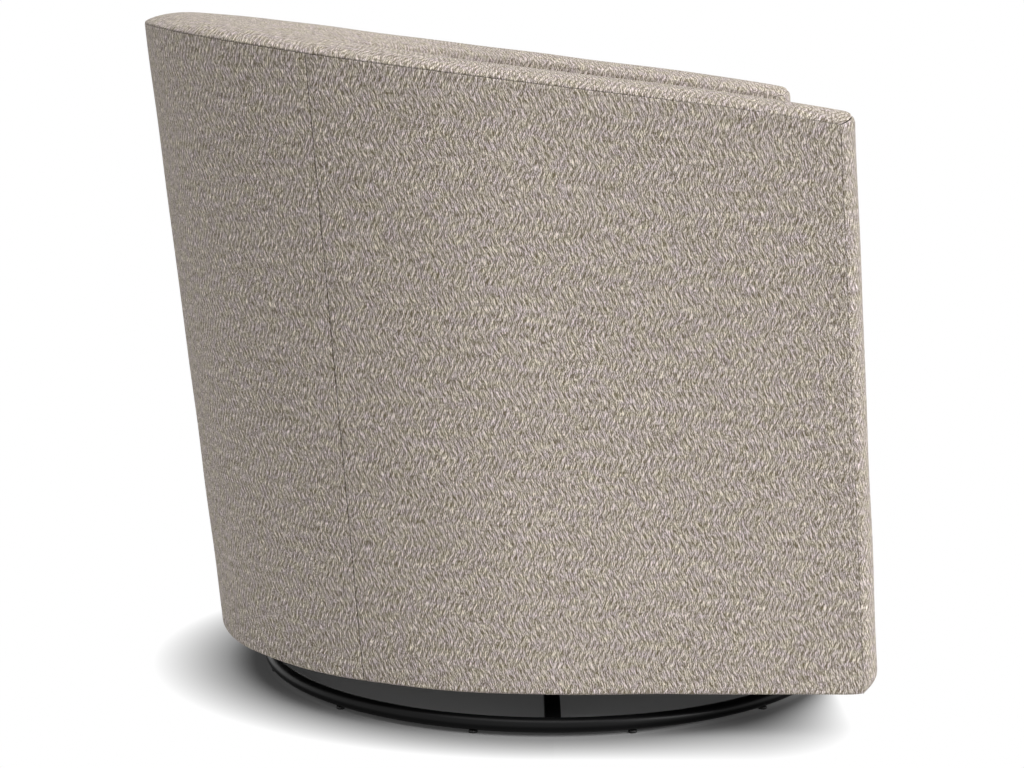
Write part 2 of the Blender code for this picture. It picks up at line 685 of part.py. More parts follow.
def build_frame_walls():
    """Bent rim under the top band and the four posts that carry it."""
    faces = inset(FRAME_OUTER), inset(FRAME_INNER)
    rim_low = below_hem(SEAT_GAP + RIM_HEIGHT)
    rim = wall_mesh("top_rim", -BAND_BACK, BAND_BACK, rim_low, UNDER_BAND, *faces)
    add_body_piece("top_rim", rim, TIMBER)
    post_high = below_hem(RIM_HEIGHT + 2 * SEAT_GAP)
    front = behind_front(FRONT_BULGE + SEAT_GAP + POST_WIDTH), BAND_BACK
    half_turn = POST_WIDTH / (math.pi * BACK_REACH)
    back = BACK_SEAM - half_turn, BACK_SEAM + half_turn
    for name, (start, end) in (("front_post", front), ("back_post", back)):
        for side, span in (("left", (start, end)), ("right", (-end, -start))):
            mesh = wall_mesh(name, *span, at_height(BOARD_BOTTOM), post_high, *faces)
            add_body_piece(f"{name}_{side}", mesh, TIMBER)


def fullness(share):
    """Crown of a padded strip across its width, from its thin edges to 1 along its middle."""
    return BAND_EDGE + (1 - BAND_EDGE) * math.sqrt(max(0.0, 1 - (2 * share - 1) ** 2))


def band_rise(station):
    """Height of the top band's crown, which is in step with its width."""
    outer = wall_point(station, below_hem(0), inset(0))
    inner = wall_point(station, below_hem(0), inner_face(0))
    return BAND_RISE * (inner - outer).length / ARM_THICKNESS


def mitre_point(share, is_face):
    """Distance behind the front and rise over the hem where the two strips meet at the arm's corner."""
    full = fullness(share) if is_face else 0.0
    return FRONT_BULGE - full * (FRONT_BULGE - BAND_CORNER), full * (BAND_RISE - BAND_CORNER)


def build_top_band():
    """Crowned strip over the arms and the back, mitred to the arm fronts."""
    turn_end = behind_front(1.5 * FRONT_BULGE)
    columns = [-2.0, -turn_end] + STATIONS[1:-1] + [turn_end, 2.0]

    def place(station, share, is_face):
        rise = band_rise(station) * fullness(share) if is_face else 0.0
        if abs(station) == 2.0:
            back, rise = mitre_point(share, is_face)
            station = math.copysign(behind_front(back), station)
        return wall_point(station, below_hem(-rise), across(share))

    add_body_piece("top_band", bent_block("top_band", columns, BAND_ROWS, place), UPHOLSTERY)


def round_off(height):
    """How far the arm's front is drawn back by the round at its lower corner."""
    rest = max(0.0, FRONT_ROUND - height)
    return FRONT_ROUND - math.sqrt(FRONT_ROUND ** 2 - rest ** 2)


def build_arm_fronts():
    """Crowned strips down the fronts of the arms, drawn under at the foot and mitred to the top band."""
    foot = FRONT_ROUND - math.sqrt(FRONT_ROUND ** 2 - (FRONT_ROUND - FRONT_BULGE) ** 2) + SEAT_GAP
    heights = [foot] + [row * FRONT_ROUND for row in CORNER_ROWS]
    columns = [(at_height(BODY_BOTTOM + height), round_off(height)) for height in heights]
    columns += [(below_hem(FRONT_BULGE / 2), 0.0), None]
    for name, side in (("left", 1), ("right", -1)):

        def place(column, share, is_face):
            if column is None:
                back, rise = mitre_point(share, is_face)
                level = below_hem(SEAT_GAP * math.sqrt(2) - rise)
            else:
                level, drawn = column
                full = fullness(share) if is_face else 0.0
                back = FRONT_BULGE - full * (FRONT_BULGE - drawn)
            return wall_point(side * behind_front(back), level, across(share))

        mesh = bent_block("arm_front", columns, BAND_ROWS, place)
        add_body_piece(f"arm_front_{name}", mesh, UPHOLSTERY)


def build_inside_pad():
    """Padded inside of the arms and back, swelling between the cushion and the top band."""
    edge = behind_front(PAD_EDGE)
    columns = [-BAND_BACK, -edge] + STATIONS[1:-1] + [edge, BAND_BACK]
    low, high = at_height(DECK_TOP + SEAT_GAP), below_hem(SOFT_GAP)
    cushion_row = PAD_ROWS[1]

    def place(station, share, is_inner):
        swell = 0.0
        if share > cushion_row and abs(station) < BAND_BACK:
            swell = PAD_CROWN * math.sin(math.pi * (share - cushion_row) / (1 - cushion_row))

        def level(hem):
            return low(hem) + share * (high(hem) - low(hem))

        return wall_point(station, level, inner_face(swell) if is_inner else inset(PAD_OUTER))

    add_body_piece("inside_back", bent_block("inside_back", columns, PAD_ROWS, place), UPHOLSTERY)


# Seat box

def front_y(z, behind):
    """Y of a plane that lies a distance behind the leaning front of the arms."""
    return station_point(behind_front(behind), at_height(z), inset(0)).y


def floor_mesh(name, low, high, depth, front):
    """A flat board or cloth over the plan of the body, at a depth into the wall."""
    bm = bmesh.new()
    stations = [-behind_front(front)] + STATIONS[1:-1] + [behind_front(front)]
    base = [bm.verts.new(wall_point(station, at_height(low), inset(depth))) for station in stations]
    face = bm.faces.new(base)
    copied = bmesh.ops.extrude_face_region(bm, geom=[face])["geom"]
    for vert in (item for item in copied if isinstance(item, bmesh.types.BMVert)):
        station = stations[min(range(len(base)), key=lambda i: (base[i].co - vert.co).length)]
        vert.co = wall_point(station, at_height(high), inset(depth))
    return mesh_from(bm, name)


def build_floor():
    """Plywood bottom with the well for the mechanism, its dust cover and the cleats across the well."""
    depth, front = FRAME_OUTER, FRONT_BULGE + SEAT_GAP
    well = box_mesh("well", (-WELL_X, -WELL_Y, 0), (WELL_X, WELL_Y, FRAME_TOP + PLY))
    well_cutter = add_cutter("mechanism_well", well)
    boards = (("bottom_frame", FRAME_BOTTOM, FRAME_TOP, TIMBER),
              ("dust_cover", FRAME_BOTTOM - SEAT_GAP - CLOTH, FRAME_BOTTOM - SEAT_GAP, BLACK_CLOTH))
    for name, low, high, material in boards:
        boolean(add_body_piece(name, floor_mesh(name, low, high, depth, front), material), well_cutter)
    reach = WELL_X + CLEAT_REACH
    for name, y in (("front", -CLEAT_Y - CLEAT_WIDTH), ("rear", CLEAT_Y)):
        high = (reach, y + CLEAT_WIDTH, BOARD_BOTTOM + CLEAT_HEIGHT)
        mesh = box_mesh("cleat", (-reach, y, BOARD_BOTTOM), high)
        add_body_piece(f"cleat_{name}", mesh, TIMBER)


def leaning_slab(name, half, front, back, low, high):
    """A board across the seat that leans with the arms' front."""
    def place(x, top, is_back):
        z = high if top else low
        return Vector((x, front_y(z, back if is_back else front), z))

    return bent_block(name, (-half, half), (False, True), place)


def build_seat_box():
    """Front border and rail, back rail, zigzag springs and the deck over them."""
    border_back = FRONT_BULGE
    half = BODY_WIDTH / 2 - ARM_THICKNESS - SEAT_GAP
    mesh = leaning_slab("front_border", half, BORDER_SETBACK, border_back, BODY_BOTTOM, DECK_TOP)
    add_body_piece("front_border", mesh, UPHOLSTERY)
    rail_front = border_back + SEAT_GAP
    rail_back = rail_front + LUMBER
    rail_top = DECK_BOTTOM - SEAT_GAP
    mesh = leaning_slab("front_rail", half, rail_front, rail_back, BOARD_BOTTOM, rail_top)
    add_body_piece("front_rail", mesh, TIMBER)
    back_y = WELL_Y + LUMBER
    turn_in = math.asin((back_y + LUMBER) / BACK_REACH)
    back_half = BODY_WIDTH / 2 * math.cos(turn_in) - PAD_OUTER - LUMBER
    mesh = box_mesh("back_rail", (-back_half, back_y, BOARD_BOTTOM), (back_half, back_y + LUMBER, rail_top))
    add_body_piece("back_rail", mesh, TIMBER)
    deck = floor_mesh("seat_deck", DECK_BOTTOM, DECK_TOP, PAD_OUTER, rail_front)
    add_body_piece("seat_deck", deck, BLACK_CLOTH)
    spring_z = rail_top - SPRING_WIRE / 2
    build_springs(front_y(spring_z, rail_back) + SEAT_GAP, back_y - SEAT_GAP, spring_z)


def build_springs(start, end, z):
    """Zigzag wire springs from rail to rail, side by side."""
    turns = max(2, round((end - start) / SPRING_PITCH))
    steps = turns * SPRING_STEPS
    for index in range(SPRING_COUNT):
        x = SPRING_SPACING * (index - (SPRING_COUNT - 1) / 2)
        curve = bpy.data.curves.new("seat_spring", "CURVE")
        curve.dimensions = "3D"
        curve.bevel_depth = SPRING_WIRE / 2
        curve.bevel_resolution = 0
        curve.use_fill_caps = True
        path = [(0.0, start)]
        for step in range(steps + 1):
            swing = math.sin(2 * math.pi * step / SPRING_STEPS)
            run = start + SPRING_LEAD + (end - start - 2 * SPRING_LEAD) * step / steps
            path.append((SPRING_WIDTH / 2 * swing, run))
        path.append((0.0, end))
        spline = curve.splines.new("POLY")
        spline.points.add(len(path) - 1)
        for point, (swing, run) in zip(spline.points, path):
            point.co = (x + swing, run, z, 1)
        add_body_piece(f"seat_spring_{index + 1}", curve, SPRING_STEEL)


# Seat cushion

def cushion_edge(a, b, z):
    """Edge of the cushion's plan for a point on the rim of a square: the front, the arms and the back."""
    fit = inner_face(CUSHION_CLEARANCE)
    corner = 0.6
    if b <= -1:
        half = BODY_WIDTH / 2 - ARM_THICKNESS - CUSHION_CLEARANCE
        return Vector((half * a, front_y(z, CUSHION_DRAW * (1 - a * a)), z))
    if abs(a) >= 1:
        along = behind_front(0) - (b + 1) / 2 * (behind_front(0) - corner)
        return wall_point(math.copysign(along, a), at_height(z), fit)
    return wall_point(corner * a, at_height(z), fit)


def build_cushion():
    """Loose seat cushion in the plan of the barrel: crowned top, round sides, flat where it rests."""
    bottom = DECK_TOP + 2 * SEAT_GAP
    bm = bmesh.new()
    bmesh.ops.create_grid(bm, x_segments=CUSHION_CELLS, y_segments=CUSHION_CELLS, size=1.0)
    top = bm.faces[:]
    for level in range(CUSHION_LAYERS):
        covered = top
        copied = bmesh.ops.extrude_face_region(bm, geom=covered)["geom"]
        top = [item for item in copied if isinstance(item, bmesh.types.BMFace)]
        for vert in {vert for face in top for vert in face.verts}:
            vert.co.z = (level + 1) / CUSHION_LAYERS
        if level:
            bmesh.ops.delete(bm, geom=covered, context="FACES_ONLY")
    middle = Vector((0, front_y(bottom, 0) / 2 + BACK_REACH / 4, 0))
    for vert in bm.verts:
        a, b, c = vert.co
        rim = max(abs(a), abs(b))
        height = c * CUSHION_EDGE
        drawn = CUSHION_ROUND * (2 * c - 1) ** 2
        z = bottom + height
        if rim:
            edge = cushion_edge(a / rim, b / rim, z)
        else:
            edge = middle.copy()
        centre = Vector((middle.x, middle.y, z))
        edge.z = z
        outward = edge - centre
        reach = max(0.0, outward.length - drawn)
        vert.co = centre + outward.normalized() * reach * rim
        if c == 1:
            vert.co.z += CUSHION_CROWN * (1 - rim ** 2.4)
    add_body_piece("seat_cushion", mesh_from(bm, "seat_cushion"), UPHOLSTERY)


def main():
    build_ring()
    build_feet()
    build_bars()
    build_hub()
    build_bearing()
    build_hangers()
    build_rods()
    build_links()
    build_carriage()
    build_outer_covers()
    build_frame_walls()
    build_top_band()
    build_arm_fronts()
    build_inside_pad()
    build_floor()
    build_seat_box()
    build_cushion()


main()
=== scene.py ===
"""Looks of the swivel glider barrel chair: sewn and padded covers in a zigzag weave, a round
steel floor ring, and the finishes of the frame inside, in a plain pale studio."""

import json
import math

import bpy
import numpy as np
from bpy.props import FloatProperty, FloatVectorProperty, IntProperty, PointerProperty
from bpy.types import Operator, Panel, PropertyGroup
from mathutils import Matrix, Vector

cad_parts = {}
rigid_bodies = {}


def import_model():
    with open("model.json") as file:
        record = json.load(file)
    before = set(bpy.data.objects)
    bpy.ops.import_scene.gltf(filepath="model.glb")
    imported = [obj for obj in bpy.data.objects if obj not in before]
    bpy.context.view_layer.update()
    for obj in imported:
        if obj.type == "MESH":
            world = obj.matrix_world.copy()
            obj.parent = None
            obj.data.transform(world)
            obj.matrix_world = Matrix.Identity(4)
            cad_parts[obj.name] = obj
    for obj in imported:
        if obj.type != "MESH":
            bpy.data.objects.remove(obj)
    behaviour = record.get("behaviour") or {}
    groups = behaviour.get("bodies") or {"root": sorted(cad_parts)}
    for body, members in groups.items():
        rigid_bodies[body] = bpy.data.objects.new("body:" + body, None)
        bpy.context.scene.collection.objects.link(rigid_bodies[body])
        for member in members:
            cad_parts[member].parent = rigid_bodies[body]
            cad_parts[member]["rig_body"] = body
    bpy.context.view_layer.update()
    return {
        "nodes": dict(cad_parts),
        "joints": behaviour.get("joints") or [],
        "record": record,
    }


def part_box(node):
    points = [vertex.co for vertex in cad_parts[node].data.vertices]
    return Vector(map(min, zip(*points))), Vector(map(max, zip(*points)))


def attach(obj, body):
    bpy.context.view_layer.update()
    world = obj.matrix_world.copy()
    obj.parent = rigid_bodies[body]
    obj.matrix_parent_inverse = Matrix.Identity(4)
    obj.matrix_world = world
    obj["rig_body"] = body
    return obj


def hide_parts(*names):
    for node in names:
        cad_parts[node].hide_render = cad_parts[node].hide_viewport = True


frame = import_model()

bl_info = {
    "name": "Swivel glider barrel chair",
    "version": (1, 0, 0),
    "blender": (4, 5, 0),
    "location": "View3D > Sidebar > Chair",
    "description": "Dresses the chair's frame in woven covers and finished metal",
    "category": "Object",
}

MM = 0.001
SWIVEL_Y = next(joint["pos_m"][1] for joint in frame["joints"] if joint["name"] == "swivel")
NODE_SLOT = {part["node"]: part["material_slot"] for part in frame["record"]["subparts"]}
BODY_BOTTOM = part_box("outer_back")[0].z
DECK_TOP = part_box("seat_deck")[1].z
WEAVE_MAP = "weave"
FROM_SWIVEL = np.array([0, SWIVEL_Y, 0])


def number(name, description, default, **settings):
    return FloatProperty(name=name, description=description, default=default, **settings)


def length(name, description, default):
    return number(name, description, default, unit="LENGTH", precision=4)


def angle(name, description, degrees):
    return number(name, description, math.radians(degrees), subtype="ANGLE")


def share(name, description, default):
    return number(name, description, default, subtype="FACTOR", min=0, max=1)


def colour(name, description, default):
    return FloatVectorProperty(name=name, description=description, default=default, size=3, subtype="COLOR")


def count(name, description, default):
    return IntProperty(name=name, description=description, default=default)


# Sizes and colours that a user would change

class BarrelSizes(PropertyGroup):
    """The barrel wall that the covers follow. Distances along Y start at the swivel axis."""

    width: length("Width", "Outside width of the body", 2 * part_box("outer_side_left")[1].x)
    front_reach: length("Front reach", "Front of the arms at the floor end", 0.3605)
    back_reach: length("Back reach", "Rear of the back at the floor end", 0.3996)
    front_lean: angle("Front lean", "Rearward lean of the arms' front", 3.65)
    back_lean: angle("Back lean", "Rearward lean of the back", 6.2)
    lean_spread: number("Lean spread", "How late the lean grows towards the back", 3.4)
    hem_rise: length("Hem rise", "Height of the upper seam over the bottom, at the swivel axis", 0.6605)
    hem_slope: angle("Hem slope", "Rise of the upper seam towards the back", 7.0)
    arm: length("Arm thickness", "Thickness of the wall along the arms", 0.095)
    back: length("Back thickness", "Thickness of the wall in the middle of the back, at the seat", 0.215)
    back_taper: angle("Back taper", "Thinning of the back towards its top", 9.1)
    seam_turn: angle("Seam turn", "Turn from the arm to the seam between side and back", 31.8)
    hem_droop: length("Hem droop", "How far the upper seam droops at the front of the arms", 0.005)
    droop_run: length("Droop run", "Distance over which the upper seam droops", 0.150)
    hem_lift: length("Hem lift", "How far the upper seam is lifted in the middle of the back", 0.003)
    crown: length("Crown", "Height of the roll over the upper seam, along the arms", 0.0143)
    bulge: length("Front bulge", "Depth of the roll round the front of an arm", 0.022)
    corner: length("Corner round", "Round where the top of an arm turns down its front", 0.0100)
    foot_rise: length("Foot rise", "Height of the round at the lower front corner of an arm", 0.022)
    foot_run: length("Foot run", "Length of the round at the lower front corner of an arm", 0.040)
    pad_swell: length("Pad swell", "Swell of the padding inside the back and arms", 0.012)


class CoverSizes(PropertyGroup):
    """How the covers are padded and sewn."""

    cell: length("Cell", "Distance between mesh lines on a cover", 0.0065)
    thickness: length("Cover thickness", "Thickness of a padded cover", 0.0098)
    seam_round: length("Seam round", "Width of the roll of a cover into a seam", 0.0024)
    seam_depth: length("Seam depth", "Depth of the roll of a cover into a seam", 0.0013)
    seam_gap: length("Seam gap", "Half of the gap between two covers in a seam", 0.0001)
    hem_gap: length("Hem gap", "Gap of the upper seam in the middle of the back", 0.0006)
    slack: length("Slack", "Height of the soft waves of a cover", 0.0005)
    pucker: length("Pucker", "Distance between the small gathers along a seam", 0.011)
    cushion_edge: length("Cushion edge", "Height of the seat cushion's sides", 0.112)
    cushion_crown: length("Cushion crown", "Rise of the seat cushion's middle over its seam", 0.030)
    cushion_clearance: length("Cushion clearance", "Gap between the seat cushion and the arms", 0.004)
    cushion_round: length("Cushion round", "How far the sides are drawn in at the seams", 0.010)
    cushion_cells: count("Cushion cells", "Mesh cells across the cushion", 68)
    cushion_layers: count("Cushion layers", "Mesh cells up its sides", 14)
    cushion_draw: length("Cushion draw", "How far the middle of its front lies behind the ends", 0.008)
    cushion_corner: share("Cushion corner", "Round of the front corners, as a share of half the width", 0.1)
    swell_limit: length("Swell limit", "Furthest that the cushion's top may swell", 0.009)
    side_swell: length("Side swell", "Furthest that the cushion's sides may swell", 0.003)
    fold_bend: length("Fold bend", "Round of a cover's fold under its bottom edge", 0.003)
    border_roll: length("Border roll", "Round at the top of the border under the cushion", 0.010)
    border_setback: length("Border setback", "Distance of the border behind the front of the arms", 0.006)
    border_swell: length("Border swell", "Swell of the border's middle", 0.003)
    lining_inset: length("Lining inset", "Distance of the lining's edge from the outside", 0.0105)
    lining_sag: length("Lining sag", "How far the lining hangs down", 0.0012)
    well_x: length("Well half width", "Half of the opening over the mechanism, across", 0.1675)
    well_y: length("Well half length", "Half of the opening over the mechanism, front to back", 0.1998)


class WeaveSizes(PropertyGroup):
    """The zigzag weave: slanted floats in rows, which change their slant from band to band."""

    float_pitch: length("Float pitch", "Distance between floats along a row", 0.0061)
    row_pitch: length("Row pitch", "Distance between rows of floats", 0.0067)
    band: length("Band", "Height of a band of floats with one slant", 0.026)
    tooth: length("Tooth", "Height of the teeth between two bands", 0.017)
    tooth_width: length("Tooth width", "Width of the teeth between two bands", 0.0244)
    wander_across: length("Wander across", "How far the floats wander across", 0.0016)
    wander_up: length("Wander up", "How far the rows wander up and down", 0.005)
    relief: length("Relief", "Height of the floats", 0.0007)
    light: colour("Light yarn", "Colour of the floats", (0.96, 0.88, 0.83))
    dark: colour("Dark yarn", "Colour of the ground between the floats", (0.172, 0.142, 0.086))
    mauve: colour("Mauve tint", "Cool tint of the yarns in places", (0.975, 0.925, 1.0))
    olive: colour("Olive tint", "Warm tint of the yarns in places", (1.0, 0.987, 0.89))


class StageSettings(PropertyGroup):
    """Camera, light and floor."""

    camera: FloatVectorProperty(
        name="Camera", description="Place of the camera", default=(-2.8856, -0.0145, 0.8167), unit="LENGTH")
    tilt: angle("Tilt", "How far the camera looks down", 9.48)
    lens: number("Lens", "Focal length in millimetres", 84.62)
    sky: number("Sky", "Strength of the light from all round", 0.33)
    key: number("Key", "Strength of the light from the front", 2.70)
    top: number("Top", "Strength of the light from above", 1.8)
    floor: colour("Floor", "Colour of the floor under the chair", (0.85, 0.85, 0.85))
    # Painted shadow: the floor's colour is painted this dark from just inside the ring outwards
    floor_painted_shadow: colour("Floor edge", "Colour of the floor round the chair's foot", (0.24, 0.24, 0.24))
    floor_radius: length("Floor radius", "Size of the floor", 4.0)
    shadow_half: length("Shadow half width", "Half of the shadow's width on the floor", 0.424)
    shadow_rear: length("Shadow rear", "Reach of the shadow behind the swivel axis", 0.485)
    shadow_front: length("Shadow front", "Reach of the shadow in front of the swivel axis", 0.333)
    shadow_corner: length("Shadow corner", "Round of the shadow's front corners", 0.130)
    fade: number("Fade", "How late the shadow fades out", 1.5)
    # Painted light: a least white glow painted into the floor under the chair, which lifts its shade
    painted_floor_glow: share("Glow", "Least brightness of the floor under the chair", 0.028)


def barrel():
    return bpy.context.scene.chair_barrel


def covers():
    return bpy.context.scene.chair_covers


def weave():
    return bpy.context.scene.chair_weave


def stage():
    return bpy.context.scene.chair_stage


# Shader expressions

class Shade:
    """A socket of some nodes. Arithmetic on it adds Math nodes."""

    def __init__(self, nodes, socket):
        self.nodes = nodes
        self.socket = socket

    def math(self, operation, first, second):
        return self.nodes.node("ShaderNodeMath", {"operation": operation}, {0: first, 1: second})

    def __add__(self, other):
        return self.math("ADD", self, other)

    __radd__ = __add__

    def __sub__(self, other):
        return self.math("SUBTRACT", self, other)

    def __rsub__(self, other):
        return self.math("SUBTRACT", other, self)

    def __mul__(self, other):
        return self.math("MULTIPLY", self, other)

    __rmul__ = __mul__

    def __truediv__(self, other):
        return self.math("DIVIDE", self, other)

    def __pow__(self, other):
        return self.math("POWER", self, other)

    def cosine(self):
        return self.math("COSINE", self, 0.0)

    def pingpong(self, top):
        return self.math("PINGPONG", self, top)

    def most(self, other):
        return self.math("MAXIMUM", self, other)

    def clamp(self):
        return self.nodes.node("ShaderNodeClamp", {}, {"Value": self})


class Nodes:
    """The nodes of a material or a sky under construction."""

    def __init__(self, owner, shader, **values):
        owner.use_nodes = True
        self.owner = owner
        self.tree = owner.node_tree
        self.shader = self.tree.nodes[shader]
        self.done(**values)

    def plug(self, node, values):
        """Sets a node's sockets, or links them to what a Shade stands for."""
        for key, value in values.items():
            if isinstance(value, Shade):
                self.tree.links.new(value.socket, node.inputs[key])
            else:
                node.inputs[key].default_value = value

    def node(self, kind, settings, values, output=0):
        """Adds a node, sets it up, then fills its sockets."""
        node = self.tree.nodes.new(kind)
        for key, value in settings.items():
            setattr(node, key, value)
        self.plug(node, values)
        return Shade(self, node.outputs[output])

    def noise(self, vector, scale, detail=2.0, roughness=0.5):
        values = {"Vector": vector, "Scale": scale, "Detail": detail, "Roughness": roughness}
        return self.node("ShaderNodeTexNoise", {}, values)

    def streaky(self, vector, scales, detail=2.0, roughness=0.5):
        """Noise with its own scale along each axis."""
        stretched = self.node("ShaderNodeMapping", {}, {"Vector": vector, "Scale": scales})
        return self.noise(stretched, 1.0, detail, roughness)

    def axis(self, vector, name):
        return self.node("ShaderNodeSeparateXYZ", {}, {"Vector": vector}, output=name)

    def mix(self, factor, first, second, blend="MIX"):
        """Mixes two colours."""
        tones = [(*tone, 1.0) if isinstance(tone, tuple) else tone for tone in (first, second)]
        settings = {"data_type": "RGBA", "blend_type": blend}
        return self.node("ShaderNodeMix", settings, {"Factor": factor, 6: tones[0], 7: tones[1]}, output=2)

    def object_place(self):
        return self.node("ShaderNodeTexCoord", {}, {}, output="Object")

    def bump(self, height, distance, strength=1.0):
        values = {"Height": height, "Distance": distance, "Strength": strength}
        return self.node("ShaderNodeBump", {}, values)

    def done(self, **values):
        """Fills the shader's sockets, which are named in small letters."""
        self.plug(self.shader, {key.replace("_", " ").title(): value for key, value in values.items()})
        return self.owner


def finish(name, shine=None, **values):
    """A new material. shine is the level of its reflections where that isn't the usual one."""
    made = Nodes(bpy.data.materials.new(name), "Principled BSDF", **values)
    if shine is not None:
        made.plug(made.shader, {"Specular IOR Level": shine})
    return made


# Scales of the weave's uneven parts, per metre along its map

WANDER_ACROSS, WANDER_UP = 60.0, (48.0, 60.0, 1.0)
STROKES_ACROSS, STROKES_ALONG = 1120.0, 140.0
SPECKS = (1750.0, 480.0, 1.0)
SLUBS = (16.0, 190.0, 1.0)
PLIES = (90.0, 60.0, 1.0)
HUES = (70.0, 90.0, 1.0)

# Shares of the weave's parts in its floats, and their middle level

LATTICE_SHARE, YARN_SHARE, PLY_SHARE = 0.22, 0.09, 0.18
STROKE_SHARE, SPECK_SHARE, SLUB_SHARE = 2.8, 3.2, 0.25
FLOAT_LEVEL = 0.51
SLANT_SHARP, LATTICE_TILT = 1.2, 0.7
PLY_WANDER = 14.0
TONE_CURVE = 1.6
HUE_SHARP = 2.6


def woven_upholstery():
    """Zigzag weave of pale floats on a darker ground, with mauve and olive yarns in places."""
    sizes = weave()
    cloth = finish("woven_upholstery", 0.15, roughness=0.92, sheen_weight=0.12, sheen_roughness=0.5)
    place = cloth.node("ShaderNodeUVMap", {"uv_map": WEAVE_MAP}, {})
    x = cloth.axis(place, "X") + (cloth.noise(place, WANDER_ACROSS) - 0.5) * sizes.wander_across
    y = cloth.axis(place, "Y") + (cloth.streaky(place, WANDER_UP) - 0.5) * sizes.wander_up
    along = x * (2 * math.pi / sizes.float_pitch)
    up = y * (math.pi / sizes.row_pitch)
    teeth = x.pingpong(sizes.tooth_width / 2) * (2 * sizes.tooth / sizes.tooth_width)
    slant = (((y + teeth) * (math.pi / sizes.band)).cosine() * SLANT_SHARP + 0.5).clamp()
    tilted = slant * LATTICE_TILT + (1 - LATTICE_TILT) / 2
    lattice = (along - up).cosine() * tilted + (along + up).cosine() * (1.0 - tilted)
    lean = sizes.float_pitch / (2 * sizes.row_pitch)
    strokes = []
    for tilt in (lean, -lean):
        ends = {"X": (x - y * tilt) * STROKES_ACROSS, "Y": y * STROKES_ALONG}
        strokes.append(cloth.noise(cloth.node("ShaderNodeCombineXYZ", {}, ends), 1.0, 1.0))
    stroke = strokes[0] * slant + strokes[1] * (1.0 - slant) - 0.5
    specks = cloth.streaky(place, SPECKS, 2.0, 0.7) - 0.5
    slubs = cloth.streaky(place, SLUBS) - 0.5
    yarns = (along * 2.0).cosine()
    plies = (along * 2.5 + up * 0.7 + cloth.streaky(place, PLIES) * PLY_WANDER).cosine()
    weft = lattice * LATTICE_SHARE + yarns * YARN_SHARE + plies * PLY_SHARE
    floats = (weft + stroke * STROKE_SHARE + specks * SPECK_SHARE + FLOAT_LEVEL).clamp()
    tone = (floats + slubs * SLUB_SHARE).clamp() ** TONE_CURVE
    base = cloth.mix(tone, tuple(sizes.dark), tuple(sizes.light))
    hue = cloth.streaky(place, HUES, 1.0) - 0.5
    tint = cloth.mix((hue * HUE_SHARP + 0.5).clamp(), tuple(sizes.mauve), tuple(sizes.olive))
    base = cloth.mix(1.0, base, tint, "MULTIPLY")
    return cloth.done(base_color=base, normal=cloth.bump(floats, sizes.relief))


def lining_cloth():
    """Thin black non-woven lining with a faint pressed grain."""
    cloth = finish("lining_cloth", roughness=0.95)
    place = cloth.object_place()
    grain = cloth.noise(place, 900.0, 3.0, 0.7)
    patches = cloth.noise(place, 25.0)
    base = cloth.mix(grain * 0.6 + patches * 0.3, (0.010, 0.010, 0.011), (0.034, 0.034, 0.036))
    return cloth.done(base_color=base, normal=cloth.bump(grain, 0.3 * MM))


def black_powder_coat():
    """Satin black powder coat with a fine orange-peel skin."""
    coat = finish("black_powder_coat", 0.14, metallic=0.0)
    place = coat.object_place()
    peel = coat.noise(place, 1400.0, 2.0)
    handled = coat.noise(place, 18.0, 3.0)
    base = coat.mix(handled, (0.0025, 0.0025, 0.0026), (0.0055, 0.0055, 0.0057))
    skin = coat.bump(peel, 0.06 * MM, 0.5)
    return coat.done(base_color=base, roughness=handled * 0.14 + 0.24, normal=skin)


def zinc_plate():
    """Bright zinc plate with a faint spangle and drawn scratches."""
    metal = finish("zinc_plate", metallic=1.0)
    place = metal.object_place()
    spangle = metal.noise(place, 160.0, 3.0, 0.6)
    scratches = metal.streaky(place, (60.0, 1500.0, 1500.0))
    base = metal.mix(spangle, (0.40, 0.40, 0.39), (0.62, 0.62, 0.60))
    return metal.done(
        base_color=base, roughness=spangle * 0.18 + scratches * 0.2 + 0.2,
        normal=metal.bump(scratches, 0.05 * MM, 0.4))


def oiled_spring_wire():
    """Dark oiled spring steel."""
    metal = finish("oiled_spring_wire", metallic=1.0)
    place = metal.object_place()
    film = metal.noise(place, 120.0, 3.0)
    base = metal.mix(film, (0.10, 0.10, 0.10), (0.24, 0.23, 0.22))
    return metal.done(base_color=base, roughness=film * 0.25 + 0.3)


def moulded_glide_plastic():
    """Black moulded plastic, rubbed a little by the floor."""
    plastic = finish("moulded_glide_plastic")
    place = plastic.object_place()
    grain = plastic.noise(place, 2200.0, 2.0)
    rubbed = plastic.noise(place, 300.0, 2.0)
    base = plastic.mix(rubbed, (0.006, 0.006, 0.006), (0.02, 0.02, 0.02))
    skin = plastic.bump(grain, 0.05 * MM)
    return plastic.done(base_color=base, roughness=rubbed * 0.2 + 0.45, normal=skin)


def bumper_rubber():
    """Black rubber with a dusty bloom."""
    rubber = finish("bumper_rubber")
    place = rubber.object_place()
    bloom = rubber.noise(place, 220.0, 4.0, 0.6)
    base = rubber.mix(bloom, (0.010, 0.010, 0.010), (0.032, 0.031, 0.030))
    return rubber.done(base_color=base, roughness=bloom * 0.2 + 0.7, normal=rubber.bump(bloom, 0.1 * MM))


def sawn_timber():
    """Sawn frame timber: long grain with growth rings and saw marks."""
    wood = finish("sawn_timber")
    place = wood.object_place()
    drift = wood.noise(place, 6.0, 3.0)
    long_grain = wood.node("ShaderNodeMapping", {}, {"Vector": place, "Scale": (1.5, 9.0, 9.0)})
    rings = wood.node(
        "ShaderNodeTexWave", {"wave_type": "RINGS", "rings_direction": "X"},
        {"Vector": long_grain, "Scale": 5.0, "Distortion": 5.0, "Detail": 3.0})
    saw = wood.streaky(place, (30.0, 420.0, 420.0))
    base = wood.mix(rings * 0.6 + drift * 0.4, (0.36, 0.23, 0.12), (0.60, 0.43, 0.26))
    return wood.done(base_color=base, roughness=saw * 0.25 + 0.6, normal=wood.bump(saw, 0.2 * MM))


